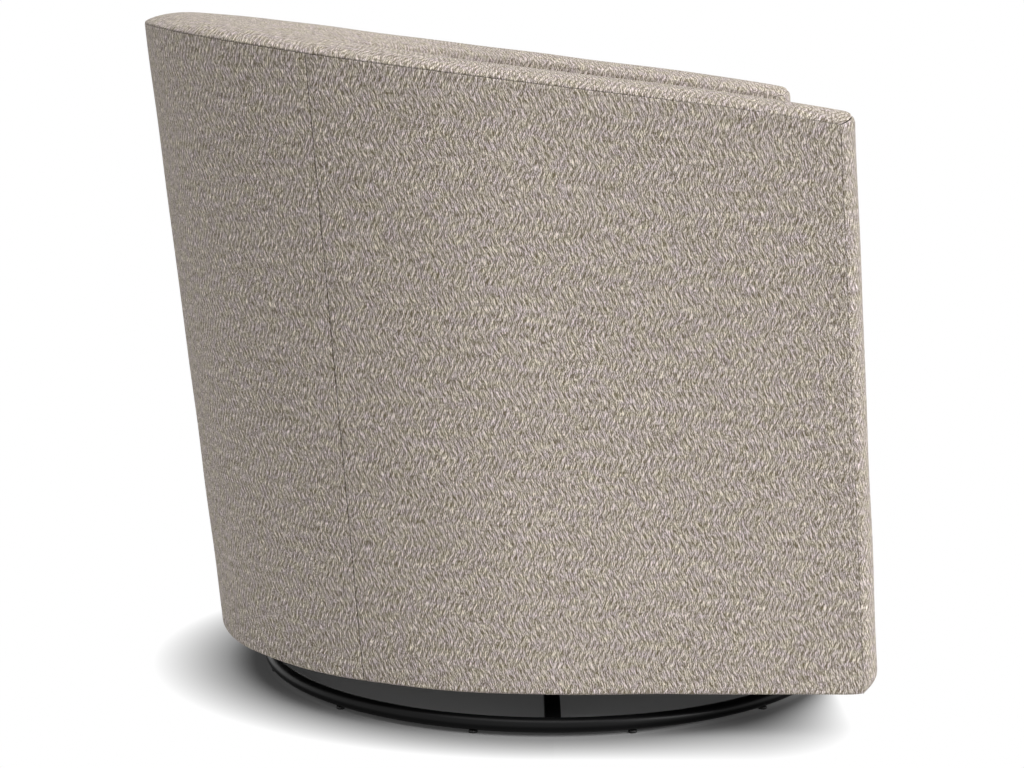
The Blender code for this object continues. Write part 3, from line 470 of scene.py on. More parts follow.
FINISHES = {
    "upholstery": woven_upholstery,
    "lining_cloth": lining_cloth,
    "black_steel": black_powder_coat,
    "zinc_steel": zinc_plate,
    "spring_steel": oiled_spring_wire,
    "glide_plastic": moulded_glide_plastic,
    "bumper_rubber": bumper_rubber,
    "frame_timber": sawn_timber,
}
MADE_FINISHES = {}


def finish_of(slot):
    """The material for a slot of the record, made once."""
    if slot not in MADE_FINISHES:
        MADE_FINISHES[slot] = FINISHES[slot]()
    return MADE_FINISHES[slot]


# Modelling helpers

CREASE, SOFT_CREASE = 40, 60


def only(obj):
    """Makes an object the only one selected."""
    bpy.ops.object.select_all(action="DESELECT")
    obj.select_set(True)
    bpy.context.view_layer.objects.active = obj


def apply(obj, kind, **settings):
    """Adds a modifier and applies it."""
    modifier = obj.modifiers.new(kind.lower(), kind)
    for key, value in settings.items():
        setattr(modifier, key, value)
    only(obj)
    bpy.ops.object.modifier_apply(modifier=modifier.name)


def edit(obj):
    """Puts an object in edit mode, with all of its mesh selected."""
    only(obj)
    bpy.ops.object.mode_set(mode="EDIT")
    bpy.ops.mesh.select_all(action="SELECT")


def leave_edit():
    bpy.ops.object.mode_set(mode="OBJECT")


def face_out(obj):
    """Turns the faces of a closed mesh outwards."""
    edit(obj)
    bpy.ops.mesh.normals_make_consistent(inside=False)
    leave_edit()


def merge(obj, distance):
    """Merges the doubled points of a mesh."""
    edit(obj)
    bpy.ops.mesh.remove_doubles(threshold=distance)
    leave_edit()


def smooth(obj, degrees=None):
    """Shades a mesh smooth, with sharp edges past an angle where one is given."""
    only(obj)
    if degrees is None:
        bpy.ops.object.shade_smooth()
    else:
        bpy.ops.object.shade_smooth_by_angle(angle=math.radians(degrees))


def added(primitive, **settings):
    """A new primitive, with nothing else selected."""
    bpy.ops.object.select_all(action="DESELECT")
    getattr(bpy.ops.mesh, f"primitive_{primitive}_add")(**settings)
    return bpy.context.object


def linked(name, data):
    """A new object in the scene."""
    obj = bpy.data.objects.new(name, data)
    bpy.context.scene.collection.objects.link(obj)
    return obj


def coordinates(mesh):
    found = np.zeros(len(mesh.vertices) * 3)
    mesh.vertices.foreach_get("co", found)
    return found.reshape(-1, 3)


def place_vertices(mesh, points):
    mesh.vertices.foreach_set("co", np.ascontiguousarray(points, dtype=float).ravel())
    mesh.update()


def dress(obj, slot):
    """Gives an object the finish of a slot."""
    obj.data.materials.clear()
    obj.data.materials.append(finish_of(slot))


def settle(obj, name, body, slot, *nodes):
    """Names a finished piece, gives it its finish and lets it ride on its body."""
    obj.name = name
    obj.data.name = name
    only(obj)
    bpy.ops.object.transform_apply(location=True, rotation=True, scale=True)
    dress(obj, slot)
    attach(obj, body)
    if nodes:
        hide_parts(*nodes)
    return obj


def upholster(obj, name, fill, *nodes):
    """Settles a padded piece on the carriage."""
    settle(obj, name, "carriage", "upholstery", *nodes)


def nodes_named(start):
    """Names of the frame's nodes that start alike."""
    return sorted(node for node in frame["nodes"] if node.startswith(start))


# Barrel wall

QUARTER = math.pi / 2
DROOP_CURVE = 1.5
HEM_DEPTH_FRONT, HEM_DEPTH_BACK = 0.2, 0.6


class Wall:
    """Points of the barrel wall. A station runs from -2 at the right arm's front, past -1 and 1 where
    the arms meet the curve of the back, to 2 at the left arm's front."""

    def __init__(self):
        sizes = barrel()
        self.half = sizes.width / 2
        self.front, self.rear = sizes.front_reach, sizes.back_reach
        self.leans = math.tan(sizes.front_lean), math.tan(sizes.back_lean)
        self.spread = sizes.lean_spread
        self.hem_rise, self.slope = sizes.hem_rise, math.tan(sizes.hem_slope)
        self.arm, self.back, self.taper = sizes.arm, sizes.back, math.tan(sizes.back_taper)
        self.stations = np.linspace(-2, 2, 4001)
        steps = np.linalg.norm(np.diff(self.outer(self.stations, BODY_BOTTOM), axis=0), axis=1)
        run = np.concatenate([[0], np.cumsum(steps)])
        self.runs = run - run[-1] / 2

    def station_at(self, run):
        """Station at a length along the foot of the wall, from the middle of the back."""
        return np.interp(run, self.runs, self.stations)

    def run_at(self, station):
        return np.interp(station, self.stations, self.runs)

    def behind_front(self, distance):
        return 2 - distance / self.front

    def arm_seam(self):
        """Length along the foot to the seam of an arm's front."""
        return float(self.run_at(self.behind_front(barrel().bulge)))

    def plan(self, station):
        side = np.where(station < 0, -1.0, 1.0)
        turn = QUARTER * np.maximum(0, 1 - np.abs(station))
        x = side * self.half * np.cos(turn)
        y = np.where(np.abs(station) < 1, self.rear * np.sin(turn), -self.front * (np.abs(station) - 1))
        return x, y, side, turn

    def outer(self, station, z):
        """Outside of the wall."""
        x, y, _, _ = self.plan(station)
        lean = self.leans[0] + self.backwards(station) ** self.spread * (self.leans[1] - self.leans[0])
        x, y, z = np.broadcast_arrays(x, y + lean * (z - BODY_BOTTOM), z)
        return np.stack([x, y, z], axis=-1)

    def through(self, station, z):
        """The step from the outside of the wall to its inside."""
        _, _, side, turn = self.plan(station)
        back = self.back - self.taper * (z - DECK_TOP)
        x, y = np.broadcast_arrays(-side * np.cos(turn) * self.arm, -np.sin(turn) * back)
        return np.stack([x, y, np.zeros_like(x)], axis=-1)

    def face(self, station, z, depth, extra=0.0):
        """A point some share of the way through the wall, and a little further."""
        step = self.through(station, z)
        size = np.linalg.norm(step, axis=-1, keepdims=True)
        depth, extra = (np.asarray(value, float)[..., None] for value in (depth, extra))
        return self.outer(station, z) + step * (depth + extra / size)

    def lift(self, station):
        """How far the upper seam is lifted round the back."""
        sizes = barrel()
        _, _, _, turn = self.plan(station)
        return sizes.hem_lift * np.clip((turn - sizes.seam_turn) / (QUARTER - sizes.seam_turn), 0, 1)

    def droop(self, station):
        """How far the upper seam droops towards the arms' front."""
        sizes = barrel()
        behind = (2 - np.abs(station)) * self.front
        return sizes.hem_droop * np.clip(1 - behind / sizes.droop_run, 0, 1) ** DROOP_CURVE

    def hem(self, station, depth):
        """Height of the upper seam: a sloping plane, lifted at the back and drooping at the front."""
        foot = self.face(station, np.zeros_like(station + depth), depth)[..., 1]
        head = self.face(station, np.ones_like(station + depth), depth)[..., 1]
        plane = (BODY_BOTTOM + self.hem_rise + self.slope * foot) / (1 - self.slope * (head - foot))
        return plane + self.lift(station) - self.droop(station)

    def backwards(self, station):
        """How far back a station is, from 0 at the arms' front to 1 in the middle of the back."""
        _, y, _, _ = self.plan(station)
        return np.clip((y + self.front) / (self.front + self.rear), 0, 1)

    def hem_depth(self, station):
        """How deep the upper seam is drawn in, which is less towards the arms' front."""
        return HEM_DEPTH_FRONT + (HEM_DEPTH_BACK - HEM_DEPTH_FRONT) * self.backwards(station)

    def rim(self, station, depth, rise):
        """A point of the roll over the wall, some way over the upper seam."""
        return self.face(station, self.hem(station, depth) + rise, depth)

    def crown(self, station):
        """Height of the roll, which is in step with the wall's thickness."""
        step = self.through(station, self.hem(station, np.zeros_like(station)))
        return barrel().crown * np.linalg.norm(step, axis=-1) / self.arm - self.lift(station)


# Sewn and padded grids

FINE_EDGE = np.array([0, 0.08, 0.22, 0.42, 0.68, 1.0, 1.6])
EDGE_MARGIN = 20 * MM
GATHER_SHARE, GATHER_DEPTH, GATHER_DRIFT = 0.22, 0.35 * MM, 97
WAVE_ACROSS, WAVE_UP = 41, 37
BEND_ACROSS, BEND_UP = 23, 19
FOLD_STEP, BEND_STEPS = 3 * MM, 8
SAME_POINT = 0.02 * MM
TAPER = "taper"


def ticks(start, end, step, fine=0.0):
    """Values from start to end, close together near the ends where a fine margin is given."""
    edge = fine * FINE_EDGE if fine else np.array([0.0])
    inner = end - start - 2 * edge[-1]
    count = max(2, int(round(inner / step)))
    middle = start + edge[-1] + inner * np.linspace(0, 1, count + 1)
    return np.concatenate([start + edge[:-1], middle, (end - edge[:-1])[::-1]])


def normals(points):
    """Unit normals of a grid of points."""
    across, up = np.gradient(points, axis=1), np.gradient(points, axis=0)
    found = np.cross(across, up)
    return found / np.maximum(np.linalg.norm(found, axis=-1, keepdims=True), 1e-12)


def reach(points, axis):
    """Distance of each point of a grid from the grid's first line along an axis."""
    steps = np.linalg.norm(np.diff(points, axis=axis), axis=-1)
    start = np.zeros_like(np.take(points[..., 0], [0], axis=axis))
    return np.concatenate([start, np.cumsum(steps, axis=axis)], axis=axis)


def roll(distance, radius, depth):
    """How far a cover is drawn in at a distance from its seam."""
    rest = np.clip(1 - distance / radius, 0, 1)
    return depth * (1 - np.sqrt(1 - rest ** 2))


def slack(u, v):
    """Soft waves of a padded cover, from -1 to 1."""
    across = np.sin(u * WAVE_ACROSS + 1.3 * np.sin(v * BEND_ACROSS))
    up = np.sin(v * WAVE_UP + 1.7 * np.sin(u * BEND_UP) + 1)
    return (across + up) / 2


def sewn(points, u, v, seams, outward):
    """Draws a grid of points in at its seams and gives it soft waves.

    seams maps first_row, last_row, first_column and last_column to a share of the usual depth."""
    sizes = covers()
    square = normals(points) * outward
    rows, columns = reach(points, 0), reach(points, 1)
    distances = {
        "first_row": (rows, u), "last_row": (rows[-1:] - rows, u),
        "first_column": (columns, v), "last_column": (columns[:, -1:] - columns, v)}
    drawn = np.zeros(points.shape[:2])
    inside = np.ones(points.shape[:2])
    for name, part in seams.items():
        distance, along = distances[name]
        wave = along * 2 * math.pi / sizes.pucker + np.sin(along * GATHER_DRIFT)
        gathers = 1 + GATHER_SHARE * np.sin(wave)
        wide = sizes.seam_round * (1 + part) / 2
        drawn += roll(distance, wide, part * sizes.seam_depth)
        drawn += part * gathers * GATHER_DEPTH * np.exp(-distance / (4 * sizes.seam_round))
        inside *= np.clip(distance / EDGE_MARGIN, 0, 1)
    waves = sizes.slack * slack(u, v) * inside
    return points + square * (waves - drawn)[..., None]


def cloth_grid(points, u, v, outward, taper=None):
    """A mesh over a grid of points, with the weave's map in metres. outward is 1 where columns cross
    rows outwards and -1 where they cross inwards. taper is the share of its thickness at each point."""
    if outward < 0:
        points, u, v = points[:, ::-1], u[:, ::-1], v[:, ::-1]
        taper = None if taper is None else taper[:, ::-1]
    rows, columns = points.shape[:2]
    obj = added("grid", x_subdivisions=columns - 1, y_subdivisions=rows - 1, size=2)
    mesh = obj.data
    flat = coordinates(mesh)
    column = np.rint((flat[:, 0] + 1) / 2 * (columns - 1)).astype(int)
    row = np.rint((flat[:, 1] + 1) / 2 * (rows - 1)).astype(int)
    place_vertices(mesh, points[row, column] + FROM_SWIVEL)
    corners = np.zeros(len(mesh.loops), int)
    mesh.loops.foreach_get("vertex_index", corners)
    layer = mesh.uv_layers[0]
    layer.name = WEAVE_MAP
    placed_map = np.stack([u[row, column], v[row, column]], axis=1)[corners]
    layer.data.foreach_set("uv", placed_map.ravel())
    if taper is not None:
        group = obj.vertex_groups.new(name=TAPER)
        for index, part in enumerate(taper[row, column]):
            group.add([index], float(part), "REPLACE")
    return obj


def padded_cover(points, u, v, seams, outward, taper=None):
    """A closed padded cover over a grid of points."""
    obj = cloth_grid(sewn(points, u, v, seams, outward), u, v, outward, taper)
    group = TAPER if taper is not None else ""
    apply(obj, "SOLIDIFY", thickness=covers().thickness, offset=-1.0, vertex_group=group)
    obj.vertex_groups.clear()
    face_out(obj)
    smooth(obj)
    return obj


def both_sides(points):
    """Name, points and way round of a piece on the left, and of its mirrored twin on the right."""
    return ("left", points, -1), ("right", points * np.array([-1, 1, 1]), 1)


# Pieces

FOOT_FULL = 2.6
FOOT_STEPS = 12
FOLD_TAPER, LEAST_TAPER, FOOT_TAPER = 0.2, 0.04, 30 * MM
FLAT_SEAM = 0.06
ROLL_STEPS = 40
BACK_FLATTER = 0.6
CORNER_RUN = 0.060
CORNER_STEPS = 26
MITRE_DEPTH, MITRE_GAP, MITRE_STEPS = 1.0, 0.5 * MM, 9
MITRE_ROWS, INNER_SEAM = (ROLL_STEPS - 6, ROLL_STEPS + 2), 0.1
CORNER_CURVE, LEAST_FULL = 1.6, 0.05
BORDER_GAP, BORDER_SEAM, END_FACING = 0.3 * MM, 0.8, 0.7
PAD_FOOT, PAD_RAMP = 0.3, 80 * MM


def fold(bend, depth):
    """Distance in from the face and height of the rows of a cover folded under its bottom edge."""
    turn = np.linspace(QUARTER, 0, BEND_STEPS + 1)
    under = np.linspace(depth, bend, max(2, int(round((depth - bend) / FOLD_STEP))) + 1)[:-1]
    inward = np.concatenate([under, bend * (1 - np.cos(turn))])
    height = np.concatenate([0 * under, bend * (1 - np.sin(turn))])
    return inward, height


def foot_lift(behind):
    """How far the round at an arm's lower front corner is above the bottom, some way behind the front."""
    sizes = barrel()
    ahead = np.clip(1 - behind / sizes.foot_run, 0, 1)
    return sizes.foot_rise * (1 - (1 - ahead ** FOOT_FULL) ** (1 / FOOT_FULL))


def outer_panel(wall, start, end):
    """Grid of an outside cover between two lengths along the foot of the wall, folded under at its bottom.

    Also gives the share of its thickness at each point, and the depth of its upper seam."""
    sizes = covers()
    runs = ticks(start + sizes.seam_gap, end - sizes.seam_gap, sizes.cell, 3 * sizes.seam_round)
    station = wall.station_at(runs)[None, :]
    gap = sizes.seam_gap + sizes.hem_gap * wall.backwards(station)
    tall = wall.hem(station, np.zeros_like(station)) - BODY_BOTTOM - gap
    raised = foot_lift(barrel().bulge + wall.arm_seam() - np.abs(runs))[None, :]
    inward, height = fold(sizes.fold_bend, sizes.lining_inset)
    folded = len(inward) - 1
    levels = ticks(0, 1, sizes.cell / tall.mean(), 3 * sizes.seam_round / tall.mean())[1:, None]
    rows = np.concatenate([height[:, None] + 0 * tall, sizes.fold_bend + (tall - sizes.fold_bend) * levels])
    rows = rows + raised * (1 - rows / tall)
    inset = np.concatenate([inward, np.zeros(len(levels))])[:, None]
    points = wall.face(station, BODY_BOTTOM + rows, 0.0, inset + 0 * rows)
    u = np.broadcast_to(runs[None, :], rows.shape)
    lengths = reach(points, 0)
    v = BODY_BOTTOM + sizes.fold_bend + raised + lengths - lengths[folded]
    taper = np.clip(FOLD_TAPER + (v - v[folded]) / EDGE_MARGIN, FOLD_TAPER, 1)
    return points, u, v, taper, wall.hem_depth(station)


class CHAIR_OT_outer_covers(Operator):
    """Make the padded covers of the outside: two sides and the back"""

    bl_idname = "chair.outer_covers"
    bl_label = "Outer covers"

    def execute(self, context):
        wall = Wall()
        seam = float(wall.run_at(1 - barrel().seam_turn / QUARTER))
        points, u, v, taper, hem_depth = outer_panel(wall, -seam, seam)
        edges = {"last_row": hem_depth, "first_column": 1.0, "last_column": 1.0}
        upholster(padded_cover(points, u, v, edges, -1, taper), "outer_back_cover", 0.9, "outer_back")
        points, u, v, taper, hem_depth = outer_panel(wall, seam, wall.arm_seam() + covers().seam_gap)
        edges = {"last_row": hem_depth, "first_column": 1.0, "last_column": FLAT_SEAM}
        for side, placed, outward in both_sides(points):
            cover = padded_cover(placed, u, v, edges, outward, taper)
            upholster(cover, f"outer_side_cover_{side}", 0.9, f"outer_side_{side}")
        return {"FINISHED"}


def roll_shape():
    """Depth through the wall and fullness of the roll, from the outside over to the inside."""
    turn = np.linspace(0, math.pi, ROLL_STEPS + 1)
    return (1 - np.cos(turn)) / 2, np.sin(turn)


def corner_radius(full):
    return barrel().corner * np.maximum(full, LEAST_FULL)


def corner_path(full, travel):
    """Distance behind the front and rise over the seam on an arm's rounded corner.

    travel is a turn from 0 at the top to a quarter turn at the front, where it is straight beyond."""
    sizes, radius = barrel(), corner_radius(full)
    front, top = sizes.bulge * (1 - full), sizes.crown * full
    return front + radius * (1 - np.sin(travel)), top - radius * (1 - np.cos(travel))


def corner_spacing():
    """Places of the columns at the end of an arm from 0 to 1, closer together towards its front."""
    return 1 - (1 - np.linspace(0, 1, CORNER_STEPS + 1)[1:]) ** CORNER_CURVE


def front_columns(depth, full):
    """Distance behind the front and rise of the columns at the end of an arm, for each row of the roll."""
    radius = corner_radius(full)
    tangent, top = corner_path(full, 0.0)
    straight = CORNER_RUN - tangent
    end = straight + radius * QUARTER / 2 - MITRE_GAP * (1 - depth)
    travel = corner_spacing()[None, :] * end[:, None]
    turn = np.clip((travel - straight[:, None]) / radius[:, None], 0, QUARTER / 2)
    behind, rise = corner_path(full[:, None], turn)
    on_top = travel < straight[:, None]
    return np.where(on_top, CORNER_RUN - travel, behind), np.where(on_top, top[:, None], rise)


class CHAIR_OT_inside_cover(Operator):
    """Make the cover that lines the back and arms and rolls over their top to the outer seam"""

    bl_idname = "chair.inside_cover"
    bl_label = "Inside cover"

    def execute(self, context):
        wall, sizes = Wall(), covers()
        depth, full = roll_shape()
        run_end = float(wall.run_at(wall.behind_front(CORNER_RUN)))
        runs = ticks(-run_end, run_end, sizes.cell)
        station = wall.station_at(runs)[None, :]
        flatter = 1 + BACK_FLATTER * wall.plan(station)[3] / QUARTER
        over = wall.rim(station, depth[:, None], wall.crown(station) * full[:, None] ** flatter)
        behind, rise = front_columns(depth, full)
        tips = {side: wall.rim(side * wall.behind_front(behind), depth[:, None], rise) for side in (-1, 1)}
        top = np.concatenate([tips[-1][:, ::-1], over, tips[1]], axis=1)
        tip_station = wall.behind_front(CORNER_RUN - (CORNER_RUN - barrel().bulge) * corner_spacing())
        inner_station = np.concatenate([-tip_station[::-1], station[0], tip_station])[None, :]
        hem = wall.hem(inner_station, np.ones_like(inner_station))
        down = ticks(0, 1, sizes.cell / (hem.mean() - DECK_TOP))[1:, None]
        z = hem + (DECK_TOP + 1 * MM - hem) * down
        swollen = np.sin(math.pi * np.clip((1 - down - PAD_FOOT) / (1 - PAD_FOOT), 0, 1))
        from_front = wall.runs[-1] - np.abs(wall.run_at(inner_station))
        swollen = swollen * np.clip((from_front - barrel().bulge) / PAD_RAMP, 0, 1) ** 0.5
        inside = wall.face(inner_station, z, np.ones_like(z), barrel().pad_swell * swollen)
        points = np.concatenate([top, inside], axis=0)
        u = np.broadcast_to(wall.run_at(inner_station), points.shape[:2])
        v = -(reach(points, 0) - reach(points, 0)[ROLL_STEPS:ROLL_STEPS + 1])
        row = np.arange(len(points))[:, None]
        mitre = np.interp(row, MITRE_ROWS, (MITRE_DEPTH, INNER_SEAM))
        seams = {"first_row": wall.hem_depth(inner_station), "first_column": mitre, "last_column": mitre}
        upholster(padded_cover(points, u, v, seams, -1), "inside_cover", 0.8, "inside_back", "top_band")
        return {"FINISHED"}


class CHAIR_OT_arm_fronts(Operator):
    """Make the rolls down the fronts of the arms, sewn to the inside cover at a mitre"""

    bl_idname = "chair.arm_fronts"
    bl_label = "Arm fronts"

    def execute(self, context):
        wall, sizes = Wall(), covers()
        depth, full = (value[None, :] for value in roll_shape())
        bulge, rise, run = barrel().bulge, barrel().foot_rise, barrel().foot_run
        bend = np.linspace(math.acos(1 - bulge / run), 0, FOOT_STEPS + 1)[:, None]
        drawn = run * (1 - np.cos(bend))
        foot_z = BODY_BOTTOM + foot_lift(drawn) + 0 * full
        foot_behind = bulge - full * (bulge - drawn)
        corner = np.linspace(QUARTER, QUARTER / 2, MITRE_STEPS + 1)[:, None]
        corner_behind, corner_rise = corner_path(full, corner)
        corner_z = wall.hem(wall.behind_front(corner_behind), depth) + corner_rise - MITRE_GAP * (1 - depth)
        start, end = BODY_BOTTOM + rise, corner_z[:1]
        levels = ticks(0, 1, sizes.cell / barrel().hem_rise)[1:-1, None]
        face_z = start + (end - start) * levels
        face_behind = np.broadcast_to(bulge * (1 - full), face_z.shape)
        behind = np.concatenate([foot_behind, face_behind, corner_behind], axis=0)
        z = np.concatenate([foot_z, face_z, corner_z], axis=0)
        points = wall.face(wall.behind_front(behind), z, np.broadcast_to(depth, z.shape))
        across = reach(points, 1)
        u = across - across[:, -1:] + wall.arm_seam()
        seams = {"first_column": FLAT_SEAM, "last_column": FLAT_SEAM, "last_row": MITRE_DEPTH}
        from_edge = np.minimum(across, across[:, -1:] - across)
        taper = np.clip(from_edge / EDGE_MARGIN, LEAST_TAPER, 1)
        taper = taper * np.clip(reach(points, 0) / FOOT_TAPER, LEAST_TAPER, 1)
        for side, placed, outward in both_sides(points):
            front = padded_cover(placed, u, z, seams, outward, taper)
            upholster(front, f"arm_front_roll_{side}", 0.85, f"arm_front_{side}")
        return {"FINISHED"}


class CHAIR_OT_front_border(Operator):
    """Make the padded border under the seat cushion, between the arms"""

    bl_idname = "chair.front_border"
    bl_label = "Front border"

    def execute(self, context):
        wall, sizes = Wall(), covers()
        low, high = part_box("front_border")
        bend, setback, back = sizes.border_roll, sizes.border_setback, barrel().bulge - BORDER_GAP
        x = ticks(low.x + BORDER_GAP, high.x - BORDER_GAP, sizes.cell, 3 * sizes.seam_round)[None, :]
        inward, height = fold(sizes.fold_bend, back - setback)
        upright = ticks(low.z + sizes.fold_bend, high.z - bend, sizes.cell)[1:-1]
        turn = np.linspace(0, QUARTER, BEND_STEPS + 1)
        z = np.concatenate([low.z + height, upright, high.z - bend + bend * np.sin(turn)])[:, None]
        behind = setback + np.concatenate([inward, 0 * upright, bend * (1 - np.cos(turn))])[:, None]
        across, up = x / high.x, (z - low.z) / (high.z - low.z)
        swollen = sizes.border_swell * (1 - across ** 2) * np.sin(math.pi * up)
        y = wall.outer(wall.behind_front(behind), z)[..., 1] - swollen
        points = np.stack(np.broadcast_arrays(x, y, z), axis=-1)
        x = np.broadcast_to(x, y.shape)
        v = reach(points, 0) + low.z - (back - setback)
        seams = {"first_column": BORDER_SEAM, "last_column": BORDER_SEAM}
        border = cloth_grid(sewn(points, x, v, seams, 1), x, v, 1)
        edit(border)
        bpy.ops.mesh.extrude_region_move()
        leave_edit()
        chosen = np.array([vertex.select for vertex in border.data.vertices])
        points = coordinates(border.data)
        plane = wall.outer(np.full(len(points), wall.behind_front(back)), points[:, 2])[:, 1] + SWIVEL_Y
        points[chosen, 1] = plane[chosen]
        place_vertices(border.data, points)
        self.map_ends(border.data)
        merge(border, SAME_POINT)
        face_out(border)
        smooth(border, SOFT_CREASE)
        upholster(border, "front_border_cover", 0.8, "front_border")
        return {"FINISHED"}

    def map_ends(self, mesh):
        """Carries the weave round the two ends of the border."""
        layer = mesh.uv_layers[WEAVE_MAP]
        points = coordinates(mesh)
        for face in mesh.polygons:
            if abs(face.normal.x) > END_FACING:
                for loop, index in zip(face.loop_indices, face.vertices):
                    x, y, z = points[index]
                    layer.data[loop].uv = (x + math.copysign(y - points[:, 1].min(), x), z)


BACK_STATION = 0.6
SEAM_LINES, LAST_LINE = np.array([0, 0.011, 0.026, 0.048]), 0.028
SEAM_STEP = 2.6 * MM
CROWN_CURVE = 2.4
SWELL_FRAMES = 20
TINY = 1e-9


def cushion_side(wall, a, b, z):
    """Edge of the cushion's plan for points on the rim of a square: the front, the arms and the back."""
    sizes = covers()
    front = wall.outer(wall.behind_front(sizes.cushion_draw * (1 - a ** 2)), z)
    front[..., 0] = (wall.half - wall.arm - sizes.cushion_clearance) * a
    along = np.sign(a) * (2 - (b + 1) / 2 * (2 - BACK_STATION))
    arm = wall.face(along, z, 1.0, sizes.cushion_clearance)
    back = wall.face(BACK_STATION * a, z, 1.0, sizes.cushion_clearance)
    beside = np.where((np.abs(a) >= 1)[..., None], arm, back)
    return np.where((b <= -1)[..., None], front, beside)


def cushion_rim(wall, a, b, z):
    """The same edge with its two front corners rounded."""
    near = covers().cushion_corner
    side, front = np.sign(a), np.full_like(b, -1.0)
    on_front = (b <= -1) & (np.abs(a) > 1 - near)
    on_arm = (np.abs(a) >= 1) & (b > -1) & (b < -1 + near)
    way = np.where(on_front, 0.5 * (np.abs(a) - 1 + near) / near, 0.5 + 0.5 * (b + 1) / near)[..., None]
    start, end = cushion_side(wall, side * (1 - near), front, z), cushion_side(wall, side, front + near, z)
    tip = cushion_side(wall, side, front, z)
    bent = (1 - way) ** 2 * start + 2 * way * (1 - way) * tip + way ** 2 * end
    return np.where((on_front | on_arm)[..., None], bent, cushion_side(wall, a, b, z))


def cushion_lines(cells):
    """Places of the mesh lines across the cushion from -1 to 1, closer together at the seams."""
    reached = 1 - SEAM_LINES[-1] - LAST_LINE
    inner = np.linspace(-reached, reached, cells + 1 - 2 * len(SEAM_LINES))
    return np.concatenate([SEAM_LINES - 1, inner, (1 - SEAM_LINES)[::-1]])


def slab(cells, layers):
    """A square slab of cells, extruded up from a grid in layers."""
    obj = added("grid", x_subdivisions=cells, y_subdivisions=cells, size=2)
    edit(obj)
    for _ in range(layers):
        bpy.ops.mesh.extrude_region_move(TRANSFORM_OT_translate={"value": (0, 0, 1 / layers)})
    leave_edit()
    face_out(obj)
    return obj


def swell(obj, held, limit):
    """Blows a cushion up as cloth, with some of its points held, and limits how far the others move."""
    group = obj.vertex_groups.new(name="held")
    group.add([int(index) for index in np.flatnonzero(held)], 1.0, "REPLACE")
    cloth = obj.modifiers.new("cloth", "CLOTH")
    cloth.settings.effector_weights.gravity = 0.0
    stuffing = {
        "quality": 6, "vertex_group_mass": "held", "use_pressure": True, "uniform_pressure_force": 4.0,
        "tension_stiffness": 12.0, "compression_stiffness": 12.0, "bending_stiffness": 0.3}
    for key, value in stuffing.items():
        setattr(cloth.settings, key, value)
    cloth.point_cache.frame_end = SWELL_FRAMES
    scene = bpy.context.scene
    for step in range(SWELL_FRAMES):
        scene.frame_set(step + 1)
    rest = coordinates(obj.data)
    blown = coordinates(obj.evaluated_get(bpy.context.evaluated_depsgraph_get()).data)
    scene.frame_set(1)
    obj.modifiers.remove(cloth)
    obj.vertex_groups.remove(group)
    move = blown - rest
    size = np.maximum(np.linalg.norm(move, axis=1, keepdims=True), TINY)
    allowed = limit[:, None]
    place_vertices(obj.data, rest + move / size * allowed * np.tanh(size / np.maximum(allowed, TINY)))


def cushion_map(obj, a, b, c, wall):
    """Lays the weave over the cushion's top and bottom in plan, and round its sides."""
    mesh = obj.data
    points = coordinates(mesh)
    way = np.select([b <= -1, a >= 1, b >= 1], [a + 1, b + 3, 5 - a], 7 - b)
    table = np.linspace(0, 8, 801)
    side, run = np.floor(table / 2) % 4, table % 2 - 1
    square = (np.select([side == 0, side == 1, side == 2], [run, 1 + 0 * run, -run], -1.0),
              np.select([side == 0, side == 1, side == 2], [-1 + 0 * run, run, 1 + 0 * run], -run))
    rim = cushion_rim(wall, *square, np.full_like(table, DECK_TOP))
    lengths = np.concatenate([[0], np.cumsum(np.linalg.norm(np.diff(rim, axis=0), axis=1))])
    layer = mesh.uv_layers[0]
    layer.name = WEAVE_MAP
    for face in mesh.polygons:
        corners = list(face.vertices)
        flat = len({round(float(c[index]), 4) for index in corners}) == 1
        ways = way[corners]
        if ways.max() - ways.min() > 4:
            ways = np.where(ways < 4, ways + 8, ways)
        for loop, index, turn in zip(face.loop_indices, corners, ways):
            around = float(np.interp(turn % 8, table, lengths)) + (lengths[-1] if turn >= 8 else 0)
            layer.data[loop].uv = points[index][:2] if flat else (around, points[index][2])


